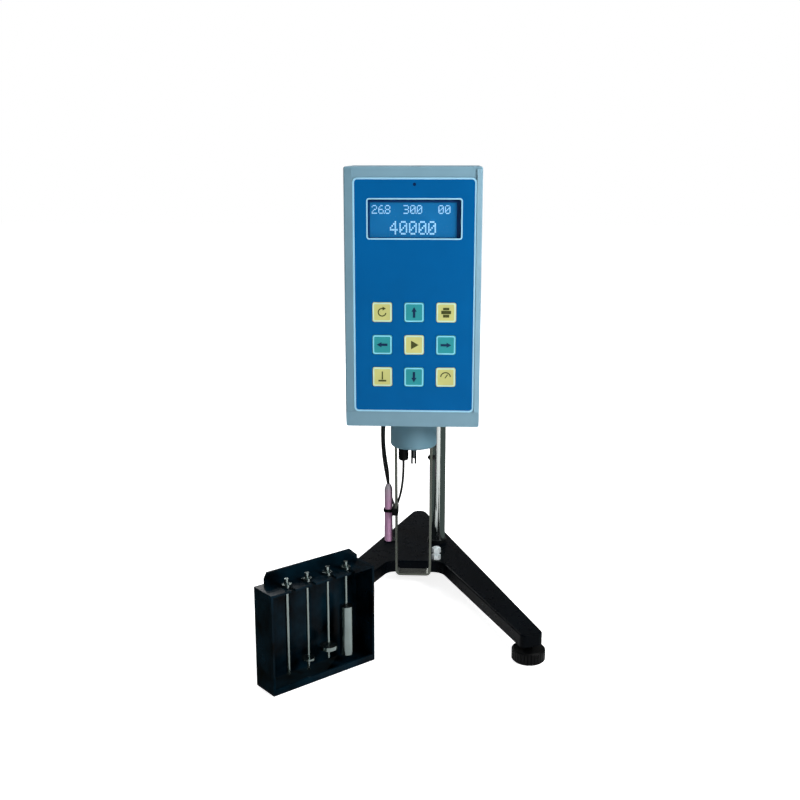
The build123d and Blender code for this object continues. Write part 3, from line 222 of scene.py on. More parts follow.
def grained_finish(name, colour, roughness, grain_mm, bump_mm, stretch=(1, 1, 1), patch_mm=25.0, shade=0.1,
                   rough_spread=0.05, metallic=0.0, specular=0.5, coat=0.0):
    """A finish with a grain of a real size.

    Fine noise, one grain_mm across and drawn out by stretch, raises the surface by bump_mm and varies
    its roughness; coarse noise, one patch_mm across, makes its colour lighter and darker by shade.
    """
    material, tree = blank_material(name)
    place = add_node(tree, "ShaderNodeTexCoord")
    fine = add_node(tree, "ShaderNodeMapping", {"Vector": place.outputs["Object"]},
                    {"Scale": [1000 / grain_mm * s for s in stretch]})
    coarse = add_node(tree, "ShaderNodeMapping", {"Vector": place.outputs["Object"]},
                      {"Scale": [1000 / patch_mm * s for s in stretch]})
    grain = add_node(tree, "ShaderNodeTexNoise", {"Vector": fine.outputs[0]}, {"Scale": 1.0, "Detail": 3.0})
    patches = add_node(tree, "ShaderNodeTexNoise", {"Vector": coarse.outputs[0]},
                       {"Scale": 1.0, "Detail": 3.0})
    middle = np.array(linear(colour))[:3]
    spread = add_node(tree, "ShaderNodeMapRange", {"Value": patches.outputs[0]},
                      {"From Min": 0.3, "From Max": 0.7})
    tone = add_node(tree, "ShaderNodeMix", {0: spread.outputs[0]},
                    {6: (*(middle * (1 - shade)), 1),
                     7: (*np.minimum(middle * (1 + shade), 1), 1)}, data_type="RGBA")
    gloss = add_node(tree, "ShaderNodeMapRange", {"Value": grain.outputs[0]},
                     {"From Min": 0.3, "From Max": 0.7, "To Min": roughness - rough_spread,
                      "To Max": roughness + rough_spread})
    relief = add_node(tree, "ShaderNodeBump", {"Height": grain.outputs[0]},
                      {"Strength": 1.0, "Distance": bump_mm / 1000})
    shader = add_node(tree, "ShaderNodeBsdfPrincipled",
                      {"Base Color": tone.outputs[2], "Roughness": gloss.outputs[0],
                       "Normal": relief.outputs[0]},
                      {"Metallic": metallic, "Specular IOR Level": specular, "Coat Weight": coat})
    add_node(tree, "ShaderNodeOutputMaterial", {"Surface": shader.outputs[0]})
    return material


def dress(material, *nodes):
    """Give CAD nodes a finish."""
    for node in nodes:
        for material_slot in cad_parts[node].material_slots:
            material_slot.material = material


# Sprayed enamel: near black, glossy, with a slow wave that bends its reflections.
base_enamel = grained_finish("gloss_black_enamel_on_casting", BASE_BLACK, 0.3, grain_mm=7.0, bump_mm=0.02,
                             shade=0.3, specular=0.035)
dress(base_enamel, "base_casting")

# ---- Levelling feet ----
# Knurled discs moulded in black nylon round a steel stud. Moulded nylon is dull, with fine pits
# from the mould's spark-eroded wall.
foot_nylon = grained_finish("moulded_black_nylon", "#040506", 0.45, grain_mm=0.9, bump_mm=0.02, shade=0.25,
                            specular=0.1)
dress(foot_nylon, "foot_left", "foot_right", "foot_rear")

# ---- Column, rings and nuts ----
# Stainless bar, centreless ground and buffed, in a blackened ring on the base. Its marks run round
# the bar, too fine to see singly, and soften reflections along it. The nuts are bright zinc.
column_steel = grained_finish("buffed_stainless_bar", "#d2d8d5", 0.1, grain_mm=0.5, bump_mm=0.0015,
                              stretch=(1, 1, 0.04), shade=0.05, rough_spread=0.04, metallic=1.0)
ring_black = grained_finish("blackened_steel_ring", "#1d2022", 0.3, grain_mm=0.5, bump_mm=0.004, shade=0.15,
                            metallic=0.7, specular=0.2)
zinc_plate = grained_finish("bright_zinc_plate", "#e9f2f4", 0.4, grain_mm=1.2, bump_mm=0.001, shade=0.04,
                            metallic=0.5)
dress(column_steel, "column")
dress(ring_black, "socket_rings")
dress(zinc_plate, "column_nut", "stop_stud_nuts")

# ---- Lift clamp ----
# A die-cast boss head sprayed grey, with a nylon bush in its bore. The fluted knobs are phenolic
# mouldings and the pinion is cut from bright steel bar, as the mounting rod is.
clamp_paint = grained_finish("sprayed_grey_on_die_casting", "#757d82", 0.42, grain_mm=0.8, bump_mm=0.03)
knob_phenolic = grained_finish("moulded_black_phenolic", "#101012", 0.28, grain_mm=3.0, bump_mm=0.02,
                               shade=0.2)
bright_steel = grained_finish("cut_bright_steel", "#a9acad", 0.24, grain_mm=0.4, bump_mm=0.003,
                              stretch=(1, 0.05, 1), metallic=1.0)
dress(clamp_paint, "lift_clamp")
dress(foot_nylon, "clamp_bush")
dress(knob_phenolic, "lift_knob", "column_lock_screw", "rod_lock_screw")
dress(bright_steel, "pinion_shaft", "mounting_rod")

# ---- Head housing ----
# Folded aluminium shells with a baked blue-grey paint. Sprayed paint has a slight orange peel,
# about a millimetre across, and a satin gloss.
housing_paint = grained_finish("baked_blue_grey_paint", "#7ba1b3", 0.42, grain_mm=1.1, bump_mm=0.012,
                               shade=0.04, specular=0.4)
dress(housing_paint, "front_shell", "rear_cover")
dress(zinc_plate, "cover_screws")

# ---- Fittings on the back ----
# Moulded black inlet and rocker switch, and a nickel-plated nine-pin socket. The inlet's blades
# are plated and the socket's pins are brass; the rocker has a white dash and ring for on and off.
PIN_BRASS = "#c9a55a"
fitting_black = grained_finish("moulded_black_polyamide", "#121214", 0.42, grain_mm=0.8, bump_mm=0.015,
                               shade=0.2)
nickel_plate = grained_finish("dull_nickel_plate", "#b9b6ac", 0.32, grain_mm=0.8, bump_mm=0.006, metallic=1.0)
pin_brass = grained_finish("turned_brass_pin", PIN_BRASS, 0.28, grain_mm=0.4, bump_mm=0.003, metallic=1.0)
mark_white = grained_finish("white_moulding_ink", "#e8e8e4", 0.5, grain_mm=0.5, bump_mm=0.003, shade=0.03)
dress(fitting_black, "power_inlet", "switch_frame", "power_rocker")
dress(nickel_plate, "serial_port")


def new_piece(name, points, faces, material, body, sharp_degrees=35):
    """Put points and faces into a mesh, shade it smooth up to an angle, and let it ride on a body."""
    mesh = bpy.data.meshes.new(name)
    mesh.from_pydata(np.asarray(points).tolist(), [], [list(map(int, face)) for face in faces])
    mesh.validate()
    mesh.shade_smooth()
    mesh.set_sharp_from_angle(angle=math.radians(sharp_degrees))
    mesh.materials.append(material)
    piece = bpy.data.objects.new(name, mesh)
    bpy.context.scene.collection.objects.link(piece)
    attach(piece, body)
    return piece


def ring_quads(rings, steps, closed):
    """Quads between each ring of points and the next, and from the last to the first if closed."""
    ring, step = np.meshgrid(np.arange(rings if closed else rings - 1), np.arange(steps), indexing="ij")
    after_ring, after_step = (ring + 1) % rings, (step + 1) % steps
    corners = (ring * steps + step, ring * steps + after_step, after_ring * steps + after_step,
               after_ring * steps + step)
    return np.stack(corners, axis=-1).reshape(-1, 4)


def turned_piece(name, profile_mm, centres, axis, material, body, steps=24, hollow=False):
    """Turned solids in one mesh: each (radius, height) of the profile is carried round the axis.

    A point is the centre plus height along the axis plus radius times (cos, sin) across it. A
    hollow piece's profile closes on itself; a full one ends in a flat cap at either end.
    """
    profile = np.asarray(profile_mm, float) / 1000
    turn = np.linspace(0, 2 * np.pi, steps, endpoint=False)
    axis = np.asarray(axis, float)
    across = np.cross(axis, (0.0, 0.0, 1.0) if abs(axis[2]) < 0.9 else (1.0, 0.0, 0.0))
    across /= np.linalg.norm(across)
    other = np.cross(axis, across)
    circle = np.cos(turn)[:, None] * across + np.sin(turn)[:, None] * other
    one = (profile[:, 0, None, None] * circle + profile[:, 1, None, None] * axis).reshape(-1, 3)
    sides = ring_quads(len(profile), steps, closed=hollow)
    points, faces = [], []
    for number, centre in enumerate(centres):
        first = number * len(one)
        points.append(one + centre)
        faces += (sides + first).tolist()
        if not hollow:
            faces += [(first + np.arange(steps)[::-1]).tolist(),
                      (first + len(one) - steps + np.arange(steps)).tolist()]
    new_piece(name, np.concatenate(points), faces, material, body)


def flat_outlines(name, outlines_mm, right, up, origin, depth, material, body):
    """Flat shapes in one mesh, each an outline with a front, a back and a thin wall between them.

    An outline's (across, up) places become origin + across * right + up * up, moved out and in by
    depth along right x up.
    """
    right, up, origin = (np.asarray(v, float) for v in (right, up, origin))
    out = np.cross(right, up)
    points, faces, first = [], [], 0
    for outline in outlines_mm:
        flat = np.asarray(outline, float) / 1000
        count = len(flat)
        middle = origin + flat[:, :1] * right + flat[:, 1:] * up
        points += [middle + out * depth, middle - out * depth]
        around = np.arange(count)
        after = (around + 1) % count
        wall = np.column_stack([first + around, first + count + around, first + count + after, first + after])
        faces += [(first + around).tolist(), (first + count + around[::-1]).tolist(), *wall.tolist()]
        first += 2 * count
    new_piece(name, np.concatenate(points), faces, material, body)


def bar(left, right, low, high):
    """Outline of a straight stroke, in millimetres."""
    return np.array([(left, low), (right, low), (right, high), (left, high)], float)


def arc_stroke(radius, width, start, end, steps=24):
    """Outline of a curved stroke: an outer arc one way and an inner arc back, in degrees."""
    turn = np.radians(np.linspace(start, end, steps))
    arc = np.column_stack([np.cos(turn), np.sin(turn)])
    return np.concatenate([arc * (radius + width / 2), arc[::-1] * (radius - width / 2)])


# Three plated blades in the inlet.
BLADE_PLACES_MM = ((-45.0, 236.0), (-38.0, 240.0), (-31.0, 236.0))
BLADE_HALF_MM = (1.1, 2.1)
BLADE_MIDDLE_Y = 0.0376
BLADE_HALF_LENGTH = 0.0045
half_wide, half_tall = BLADE_HALF_MM
blades = [bar(x - half_wide, x + half_wide, z - half_tall, z + half_tall) for x, z in BLADE_PLACES_MM]
flat_outlines("inlet_blades", blades, (1, 0, 0), (0, 0, 1), AXIS + (0, BLADE_MIDDLE_Y, 0), BLADE_HALF_LENGTH,
              nickel_plate, "head")

# The socket's insulator, with a row of five pins and a row of four, 2.76 mm apart.
PORT_MIDDLE_MM = (36.0, 238.0)
INSULATOR_MM = ((-7.9, -3.6), (7.9, -3.6), (7.2, 3.6), (-7.2, 3.6))
INSULATOR_SHARE = 0.985
INSULATOR_Y = 0.0464
INSULATOR_HALF_DEPTH = 0.0004
PIN_PITCH_MM = 2.76
PIN_ROWS_MM = ((236.6, (-2, -1, 0, 1, 2)), (239.4, (-1.5, -0.5, 0.5, 1.5)))
PIN_PROFILE_MM = [(0.5, 0.0), (0.5, 3.4), (0.42, 3.75), (0.2, 3.9)]
PIN_ROOT_Y = 0.0465
insulator = np.array(INSULATOR_MM) * INSULATOR_SHARE + PORT_MIDDLE_MM
flat_outlines("port_insulator", [insulator], (1, 0, 0), (0, 0, 1), AXIS + (0, INSULATOR_Y, 0),
              INSULATOR_HALF_DEPTH, fitting_black, "head")
pin_places = [(PORT_MIDDLE_MM[0] + PIN_PITCH_MM * step, z) for z, steps in PIN_ROWS_MM for step in steps]
pin_centres = [AXIS + (x / 1000, PIN_ROOT_Y, z / 1000) for x, z in pin_places]
turned_piece("port_pins", PIN_PROFILE_MM, pin_centres, (0, 1, 0), pin_brass, "head", steps=12)

# The rocker's dash and ring lie on its two faces. One leans 2.4 degrees out at the top, and the
# other 18.4 degrees the other way.
MARK_HALF_DEPTH = 0.0001
ROCKER_PIVOT = AXIS + (0, 0.0425, 0.238)
ROCKER_FACES = (
    ("rocker_dash", [bar(-0.5, 0.5, -2.2, 2.2)], (0.0, 0.00333, 0.00431), -2.4),
    ("rocker_ring", [arc_stroke(2.0, 0.8, 0, 358, steps=48)], (0.0, 0.00439, -0.00322), 18.4),
)
for name, marks, face_place, lean_degrees in ROCKER_FACES:
    lean_back = math.radians(lean_degrees)
    flat_outlines(name, marks, (-1, 0, 0), (0, -math.sin(lean_back), math.cos(lean_back)),
                  ROCKER_PIVOT + face_place,
                  MARK_HALF_DEPTH, mark_white, "power_rocker")


# ---- Control panel ----
# A rigid board faced with polyester film, printed blue behind the film, which has a fine velvet
# grain. A pale blue line is printed round the panel and round the window.
PANEL_LINE_MM = 1.7
PANEL_CORNER_MM = 4.6
LEAST_CORNER_MM = 0.2
WINDOW_RING_MM = (88.9, 37.9, 2.6)
WINDOW_LINE_MM = 1.3
PRINT_DEPTH = 0.00008
panel_film = grained_finish("velvet_polyester_film", "#015c9b", 0.42, grain_mm=0.35, bump_mm=0.004,
                            patch_mm=40, shade=0.05, specular=0.06)
pale_print = grained_finish("pale_blue_screen_print", "#9ed4ee", 0.45, grain_mm=0.35, bump_mm=0.004,
                            shade=0.04, specular=0.25)
dress(panel_film, "control_panel")


def rounded_rectangle(width, height, corner, steps=7):
    """Outline of a rounded rectangle: at each corner, the corner's centre plus a quarter circle."""
    quarter = np.linspace(0, np.pi / 2, steps)
    turns = np.concatenate([quarter + k * np.pi / 2 for k in range(4)])
    sides = np.repeat([(1, 1), (-1, 1), (-1, -1), (1, -1)], steps, axis=0)
    centres = sides * (width / 2 - corner, height / 2 - corner)
    return centres + corner * np.column_stack([np.cos(turns), np.sin(turns)])


def printed_ring(name, size_mm, line_mm, face_middle, material, body):
    """A closed flat band between two rounded rectangles, in front of the face and just behind it."""
    width, height, corner = size_mm
    outer = rounded_rectangle(width, height, corner) / 1000
    inner = rounded_rectangle(width - 2 * line_mm, height - 2 * line_mm,
                              max(corner - line_mm, LEAST_CORNER_MM)) / 1000
    rings = [(outer, -1), (inner, -1), (inner, 1), (outer, 1)]
    points = [np.column_stack([flat[:, 0], np.full(len(flat), side * PRINT_DEPTH), flat[:, 1]]) for flat,
              side in rings]
    new_piece(name, np.concatenate(points) + face_middle, ring_quads(4, len(outer), closed=True),
              material, body)


def front_middle(node):
    """Middle of a node's front face."""
    low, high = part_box(node)
    return np.array([(low.x + high.x) / 2, low.y, (low.z + high.z) / 2])


def printed_sign(name, outlines_mm, face_middle, material, body):
    """Flat shapes printed on a face that looks to the front."""
    flat_outlines(name, outlines_mm, (1, 0, 0), (0, 0, 1), face_middle, PRINT_DEPTH, material, body)


panel_middle = front_middle("control_panel")
panel_low, panel_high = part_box("control_panel")
panel_size_mm = ((panel_high.x - panel_low.x) * 1000, (panel_high.z - panel_low.z) * 1000, PANEL_CORNER_MM)
window_middle = front_middle("display_window")
window_middle[1] = panel_middle[1]
printed_ring("panel_border_line", panel_size_mm, PANEL_LINE_MM, panel_middle, pale_print, "head")
printed_ring("window_border_line", WINDOW_RING_MM, WINDOW_LINE_MM, window_middle, pale_print, "head")

# ---- Front rails ----
# Two pressed aluminium strips in the housing's paint, down the front beside the panel. Each leans
# back from the panel to the housing's edge, and stops at the chin with a fine seam.
RAIL_PROUD = 0.0012
RAIL_OUTER_PROUD = 0.0001
RAIL_GAP = 0.0002
RAIL_EDGE_MARGIN = 0.0012
RAIL_TOP_MARGIN = 0.0022
RAIL_EDGE_ROUND = 0.0003
shell_low, shell_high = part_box("front_shell")


def front_rail(name, inner, outer):
    """A wedge with four corners, proud at its inner edge and nearly flush at its outer, run up in z."""
    face = shell_low.y
    section = np.array([(inner, face - RAIL_PROUD), (outer, face - RAIL_OUTER_PROUD)])
    front = section[np.argsort(section[:, 0])]
    back = front[::-1] * (1, 0) + (0, face + RAIL_OUTER_PROUD)
    ring = np.concatenate([front, back])
    levels = (panel_low.z - RAIL_GAP, shell_high.z - RAIL_TOP_MARGIN)
    points = np.concatenate([np.column_stack([ring, np.full(4, level)]) for level in levels])
    faces = ring_quads(2, 4, closed=False).tolist() + [[3, 2, 1, 0], [4, 5, 6, 7]]
    rail = new_piece(name, points, faces, housing_paint, "head")
    rounding = rail.modifiers.new("pressed_edge", "BEVEL")
    rounding.width = RAIL_EDGE_ROUND
    rounding.segments = 2


front_rail("front_rail_left", panel_low.x - RAIL_GAP, shell_low.x + RAIL_EDGE_MARGIN)
front_rail("front_rail_right", panel_high.x + RAIL_GAP, shell_high.x - RAIL_EDGE_MARGIN)

# ---- Keys ----
# Moulded caps with a printed face: five straw yellow ones with a dark olive sign and four teal
# ones with a navy arrow, each with a pale line round its edge.
KEY_RING_MM = (17.9, 17.9, 2.3)
KEY_LINE_MM = 1.3
key_yellow = grained_finish("straw_yellow_print", "#cbcc80", 0.42, grain_mm=0.6, bump_mm=0.006, shade=0.07,
                            specular=0.3)
key_teal = grained_finish("teal_print", "#2b959c", 0.42, grain_mm=0.6, bump_mm=0.006, shade=0.07,
                          specular=0.3)
yellow_edge = grained_finish("pale_green_print", "#cbe8cf", 0.45, grain_mm=0.6, bump_mm=0.004, shade=0.04,
                             specular=0.3)
teal_edge = grained_finish("pale_aqua_print", "#86d9ee", 0.45, grain_mm=0.6, bump_mm=0.004, shade=0.04,
                           specular=0.3)
navy_ink = grained_finish("navy_ink", "#072c50", 0.5, grain_mm=0.4, bump_mm=0.002, specular=0.25)
olive_ink = grained_finish("dark_olive_ink", "#454a22", 0.5, grain_mm=0.4, bump_mm=0.002, specular=0.25)


def turned_outline(outline, degrees):
    """An outline turned about the key's middle."""
    turn = math.radians(degrees)
    return outline @ np.array([(math.cos(turn), math.sin(turn)), (-math.sin(turn), math.cos(turn))])


ARROW_UP = np.array([(-1.15, -5.0), (1.15, -5.0), (1.15, 0.7), (2.5, 0.7), (0.0, 5.2), (-2.5, 0.7),
                     (-1.15, 0.7)])
KEY_SIGNS = {
    "key_reset": [arc_stroke(3.6, 1.1, 70, 350), np.array([(0.4, 5.4), (0.4, 1.6), (3.6, 3.5)])],
    "key_up": [ARROW_UP],
    "key_print": [bar(-4.6, 4.6, -1.4, 1.8), bar(-2.9, 2.9, 2.3, 4.6), bar(-2.9, 2.9, -4.6, -1.9)],
    "key_left": [turned_outline(ARROW_UP, 90)],
    "key_run": [np.array([(-2.8, -4.2), (4.4, 0.0), (-2.8, 4.2)])],
    "key_right": [turned_outline(ARROW_UP, -90)],
    "key_spindle": [bar(-0.6, 0.6, -2.6, 5.2), bar(-3.8, 3.8, -4.6, -3.0)],
    "key_down": [turned_outline(ARROW_UP, 180)],
    "key_speed": [arc_stroke(4.6, 1.1, 5, 175), turned_outline(bar(-0.5, 0.5, -1.0, 3.4), -35)],
}
TEAL_KEYS = ("key_up", "key_left", "key_right", "key_down")
for key_name, signs in KEY_SIGNS.items():
    face, edge, ink, slot_name = (key_yellow, yellow_edge, olive_ink, "key_yellow")
    if key_name in TEAL_KEYS:
        face, edge, ink, slot_name = (key_teal, teal_edge, navy_ink, "key_teal")
    dress(face, key_name)
    printed_ring(key_name + "_edge", KEY_RING_MM, KEY_LINE_MM, front_middle(key_name), edge, key_name)
    printed_sign(key_name + "_sign", signs, front_middle(key_name), ink, key_name)

# ---- Display ----
# A backlit blue character display in a dark blue frame, behind clear acrylic. The screen sits
# low and to the left in the frame, so a dark navy band of frame shows at its top and right: painted
# shade for the recess's shadow. Its picture is made of lit dots: small readings in the top row and
# one large reading below, zeros with a slash.
SCREEN_MM = (80.6, 32.0)
SCREEN_SHIFT_FOR_PAINTED_SHADE_MM = (-1.2, -1.2)
BEZEL_DEPTH_MM = 1.6
SMALL_DOT_MM = (1.02, 1.16)
LARGE_DOT_MM = (1.48, 1.8)
DOT_FILL = 0.88
CELL_MM = 0.6
SCREEN_CORNER_MM = 0.4
SCREEN_BEHIND_BEZEL = 0.0001
DOTS_IN_FRONT = 0.00012
POINT_MARGIN = 0.1
GLYPH_ROWS = 7
GLYPH_STEP = 6
TOP_LINE_MM = 5.6
LOW_LINE_MM = -13.4
READINGS = (
    ("26.8", -38.5, TOP_LINE_MM, SMALL_DOT_MM),
    ("30.0", -9.0, TOP_LINE_MM, SMALL_DOT_MM),
    ("00", 23.2, TOP_LINE_MM, SMALL_DOT_MM),
    ("4000.0", -21.7, LOW_LINE_MM, LARGE_DOT_MM),
)
GLYPHS = {
    "0": ("01110", "10001", "10011", "10101", "11001", "10001", "01110"),
    "2": ("01110", "10001", "00001", "00110", "01000", "10000", "11111"),
    "3": ("11110", "00001", "00001", "01110", "00001", "00001", "11110"),
    "4": ("00010", "00110", "01010", "10010", "11111", "00010", "00010"),
    "6": ("00110", "01000", "10000", "11110", "10001", "10001", "01110"),
    "8": ("01110", "10001", "10001", "01110", "10001", "10001", "01110"),
}
# A liquid-crystal cell over a backlight: it glows evenly, a little darker between its 0.6 mm dots.
screen_blue, tree = blank_material("backlit_blue_liquid_crystal")
place = add_node(tree, "ShaderNodeTexCoord")
cells = add_node(tree, "ShaderNodeMapping", {"Vector": place.outputs["Object"]},
                 {"Scale": (1000 / CELL_MM, 1.0, 1000 / CELL_MM)})
cell = add_node(tree, "ShaderNodeTexVoronoi", {"Vector": cells.outputs[0]},
                {"Scale": 1.0, "Randomness": 0.0}, distance="CHEBYCHEV")
glow_patch = add_node(tree, "ShaderNodeTexNoise", {"Vector": place.outputs["Object"]}, {"Scale": 60.0})
cell_tone = add_node(tree, "ShaderNodeMix", {0: cell.outputs["Distance"]},
                     {6: linear("#176da6"), 7: linear("#10527f")}, data_type="RGBA")
screen_tone = add_node(tree, "ShaderNodeMix", {0: glow_patch.outputs[0], 6: cell_tone.outputs[2]},
                       {7: linear("#1d76ad")}, data_type="RGBA")
screen_glass = add_node(tree, "ShaderNodeBsdfPrincipled",
                        {"Base Color": screen_tone.outputs[2], "Emission Color": screen_tone.outputs[2]},
                        {"Roughness": 0.3, "Specular IOR Level": 0.1, "Emission Strength": 0.25})
add_node(tree, "ShaderNodeOutputMaterial", {"Surface": screen_glass.outputs[0]})
# Dots switched clear, so the backlight shows through pale.
dot_light, tree = blank_material("lit_display_dot")
place = add_node(tree, "ShaderNodeTexCoord")
flicker = add_node(tree, "ShaderNodeTexNoise", {"Vector": place.outputs["Object"]}, {"Scale": 300.0})
dot_tone = add_node(tree, "ShaderNodeMix", {0: flicker.outputs[0]},
                    {6: linear("#8fd0f4"), 7: linear("#b9e6fb")}, data_type="RGBA")
dot_face = add_node(tree, "ShaderNodeBsdfPrincipled",
                    {"Base Color": dot_tone.outputs[2], "Emission Color": dot_tone.outputs[2]},
                    {"Roughness": 0.35, "Specular IOR Level": 0.2, "Emission Strength": 0.3})
add_node(tree, "ShaderNodeOutputMaterial", {"Surface": dot_face.outputs[0]})
# The frame's dark navy is the colour of the shadow in the window's recess: painted shade.
frame_lacquer_as_painted_shade = grained_finish("dark_blue_frame_as_painted_recess_shade", "#0b3f74", 0.45, grain_mm=0.8, bump_mm=0.01,
                               specular=0.2)
dress(frame_lacquer_as_painted_shade, "lcd_module")


def reading(text, left_mm, low_mm, dot_mm):
    """Outlines of a reading's dots: each glyph's grid of dots, one dot apart; a point sits in the gap."""
    wide, tall = dot_mm
    squares, across = [], left_mm
    for glyph in text:
        if glyph == ".":
            squares.append(bar(across - wide, across - wide * POINT_MARGIN, low_mm, low_mm + tall * DOT_FILL))
            continue
        grid = np.array([[int(dot) for dot in row] for row in GLYPHS[glyph]])
        for row, column in zip(*np.nonzero(grid)):
            x, y = across + column * wide, low_mm + (GLYPH_ROWS - 1 - row) * tall
            squares.append(bar(x, x + wide * DOT_FILL, y, y + tall * DOT_FILL))
        across += GLYPH_STEP * wide
    return squares


module_middle = front_middle("lcd_module")
# Shifting the screen down and left bares the frame at the top and right, as a painted shadow band.
screen_middle = window_middle + (SCREEN_SHIFT_FOR_PAINTED_SHADE_MM[0] / 1000, 0, SCREEN_SHIFT_FOR_PAINTED_SHADE_MM[1] / 1000)
screen_middle[1] = module_middle[1] + BEZEL_DEPTH_MM / 1000 - SCREEN_BEHIND_BEZEL
printed_sign("display_screen", [rounded_rectangle(*SCREEN_MM, SCREEN_CORNER_MM)], screen_middle,
             screen_blue, "head")
dots = [square for row in READINGS for square in reading(*row)]
printed_sign("display_dots", dots, screen_middle - (0, DOTS_IN_FRONT, 0), dot_light, "head")

# Clear cast acrylic: it shows what is behind it, with a faint reflection.
window_acrylic, tree = blank_material("clear_cast_acrylic")
place = add_node(tree, "ShaderNodeTexCoord")
haze = add_node(tree, "ShaderNodeTexNoise", {"Vector": place.outputs["Object"]}, {"Scale": 120.0})
haze_gloss = add_node(tree, "ShaderNodeMapRange", {"Value": haze.outputs[0]},
                      {"To Min": 0.03, "To Max": 0.08})
clear = add_node(tree, "ShaderNodeBsdfTransparent", values={"Color": linear("#fbfdff")})
shine = add_node(tree, "ShaderNodeBsdfGlossy", {"Roughness": haze_gloss.outputs[0]})
rim_light = add_node(tree, "ShaderNodeFresnel", values={"IOR": 1.1})
both = add_node(tree, "ShaderNodeMixShader",
                {0: rim_light.outputs[0], 1: clear.outputs[0], 2: shine.outputs[0]})
add_node(tree, "ShaderNodeOutputMaterial", {"Surface": both.outputs[0]})
dress(window_acrylic, "display_window")
# The indicator is a dark blue lens, unlit.
lens_blue = grained_finish("dark_blue_lens", "#06264a", 0.15, grain_mm=1.5, bump_mm=0.003, specular=0.4)
dress(lens_blue, "indicator_lens")

# ---- Inside the head ----
# Epoxy-glass key board, folded bracket, lacquered motor can, hobbed brass gears and a hairspring.
# A closed housing hides them all, so each has its own metal or lacquer and no more.
board_epoxy = grained_finish("green_epoxy_glass_board", "#1c5a33", 0.35, grain_mm=0.6, bump_mm=0.01)
motor_can = grained_finish("black_lacquered_can", "#1b1c1e", 0.35, grain_mm=1.0, bump_mm=0.01)
gear_brass = grained_finish("hobbed_brass", "#b8954b", 0.28, grain_mm=0.3, bump_mm=0.004,
                            stretch=(1, 1, 0.1), metallic=1.0)
sleeve_steel = grained_finish("turned_steel_sleeve", "#9ea2a1", 0.24, grain_mm=0.4, bump_mm=0.003,
                              stretch=(0.2, 0.2, 1), metallic=1.0)
dress(board_epoxy, "key_board")
dress(clamp_paint, "drive_bracket")
dress(motor_can, "motor", "encoder_disc")
dress(gear_brass, "motor_pinion", "drive_gear", "hairspring")
dress(sleeve_steel, "drive_bearings", "drive_sleeve", "spindle_shaft")

# ---- Collar and coupling ----
# The collar is a spun cup in the housing's paint, a shade greyer. The spindle's coupling under it
# is turned stainless, slotted across.
collar_paint = grained_finish("baked_grey_blue_paint", "#638999", 0.36, grain_mm=1.1, bump_mm=0.01,
                              shade=0.04, specular=0.4)
coupling_steel = grained_finish("turned_dark_stainless", "#55585a", 0.3, grain_mm=0.35, bump_mm=0.004,
                                stretch=(0.1, 0.1, 1), metallic=1.0)
dress(collar_paint, "collar")
dress(coupling_steel, "spindle_coupling")

# ---- Guard ----
# One strip of stainless, brushed along its length and bent to a U, held by two screws up into the
# collar and a black screw through its right arm.
guard_steel = grained_finish("brushed_stainless_strip", "#62665f", 0.3, grain_mm=0.35, bump_mm=0.003,
                             stretch=(1, 1, 0.04), metallic=1.0)
screw_black = grained_finish("black_oxide_screw", "#0c0c0e", 0.38, grain_mm=0.5, bump_mm=0.01, specular=0.4)
dress(guard_steel, "guard")
dress(screw_black, "guard_screws")

# ---- Temperature probe ----
# A moulded pink handle, greyer towards its cap and ribbed near its foot, where it is gripped. A
# black nylon ring holds it on the guard's left arm.
FADE_LENGTH = 0.016
RIB_PITCH_MM = 2.2
RIB_COUNT = 6
RIB_FROM_FOOT_MM = 4.0
RIB_SECTION_MM = [(3.9, 0.0), (4.15, 0.0), (4.35, 0.35), (4.35, 0.75), (4.15, 1.1), (3.9, 1.1)]
probe_low, probe_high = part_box("temperature_probe")
probe_pink, tree = blank_material("moulded_pink_plastic")
place = add_node(tree, "ShaderNodeTexCoord")
parts = add_node(tree, "ShaderNodeSeparateXYZ", {0: place.outputs["Object"]})
fade = add_node(tree, "ShaderNodeMapRange", {"Value": parts.outputs["Z"]},
                {"From Min": probe_high.z - FADE_LENGTH, "From Max": probe_high.z})
mottle = add_node(tree, "ShaderNodeTexNoise", {"Vector": place.outputs["Object"]},
                  {"Scale": 300.0, "Detail": 2.0})
pinks = add_node(tree, "ShaderNodeMix", {0: mottle.outputs[0]},
                 {6: linear("#ab7ea2"), 7: linear("#c093b5")}, data_type="RGBA")
body_tone = add_node(tree, "ShaderNodeMix", {0: fade.outputs[0], 6: pinks.outputs[2]},
                     {7: linear("#aa97a6")}, data_type="RGBA")
probe_shell = add_node(tree, "ShaderNodeBsdfPrincipled", {"Base Color": body_tone.outputs[2]},
                       {"Roughness": 0.36, "Specular IOR Level": 0.4})
add_node(tree, "ShaderNodeOutputMaterial", {"Surface": probe_shell.outputs[0]})
probe_foot = np.array([(probe_low.x + probe_high.x) / 2, (probe_low.y + probe_high.y) / 2, probe_low.z])
rib_centres = [probe_foot + (0, 0,
                             (RIB_FROM_FOOT_MM + RIB_PITCH_MM * rib) / 1000) for rib in range(RIB_COUNT)]
turned_piece("probe_grip_ribs", RIB_SECTION_MM, rib_centres, (0, 0, 1), probe_pink, "head",
             hollow=True)
probe_grey = grained_finish("moulded_grey_plastic", "#a39ca4", 0.36, grain_mm=2.0, bump_mm=0.01)
dress(probe_pink, "temperature_probe")
dress(probe_grey, "probe_cap")
dress(foot_nylon, "probe_plug", "probe_clip")

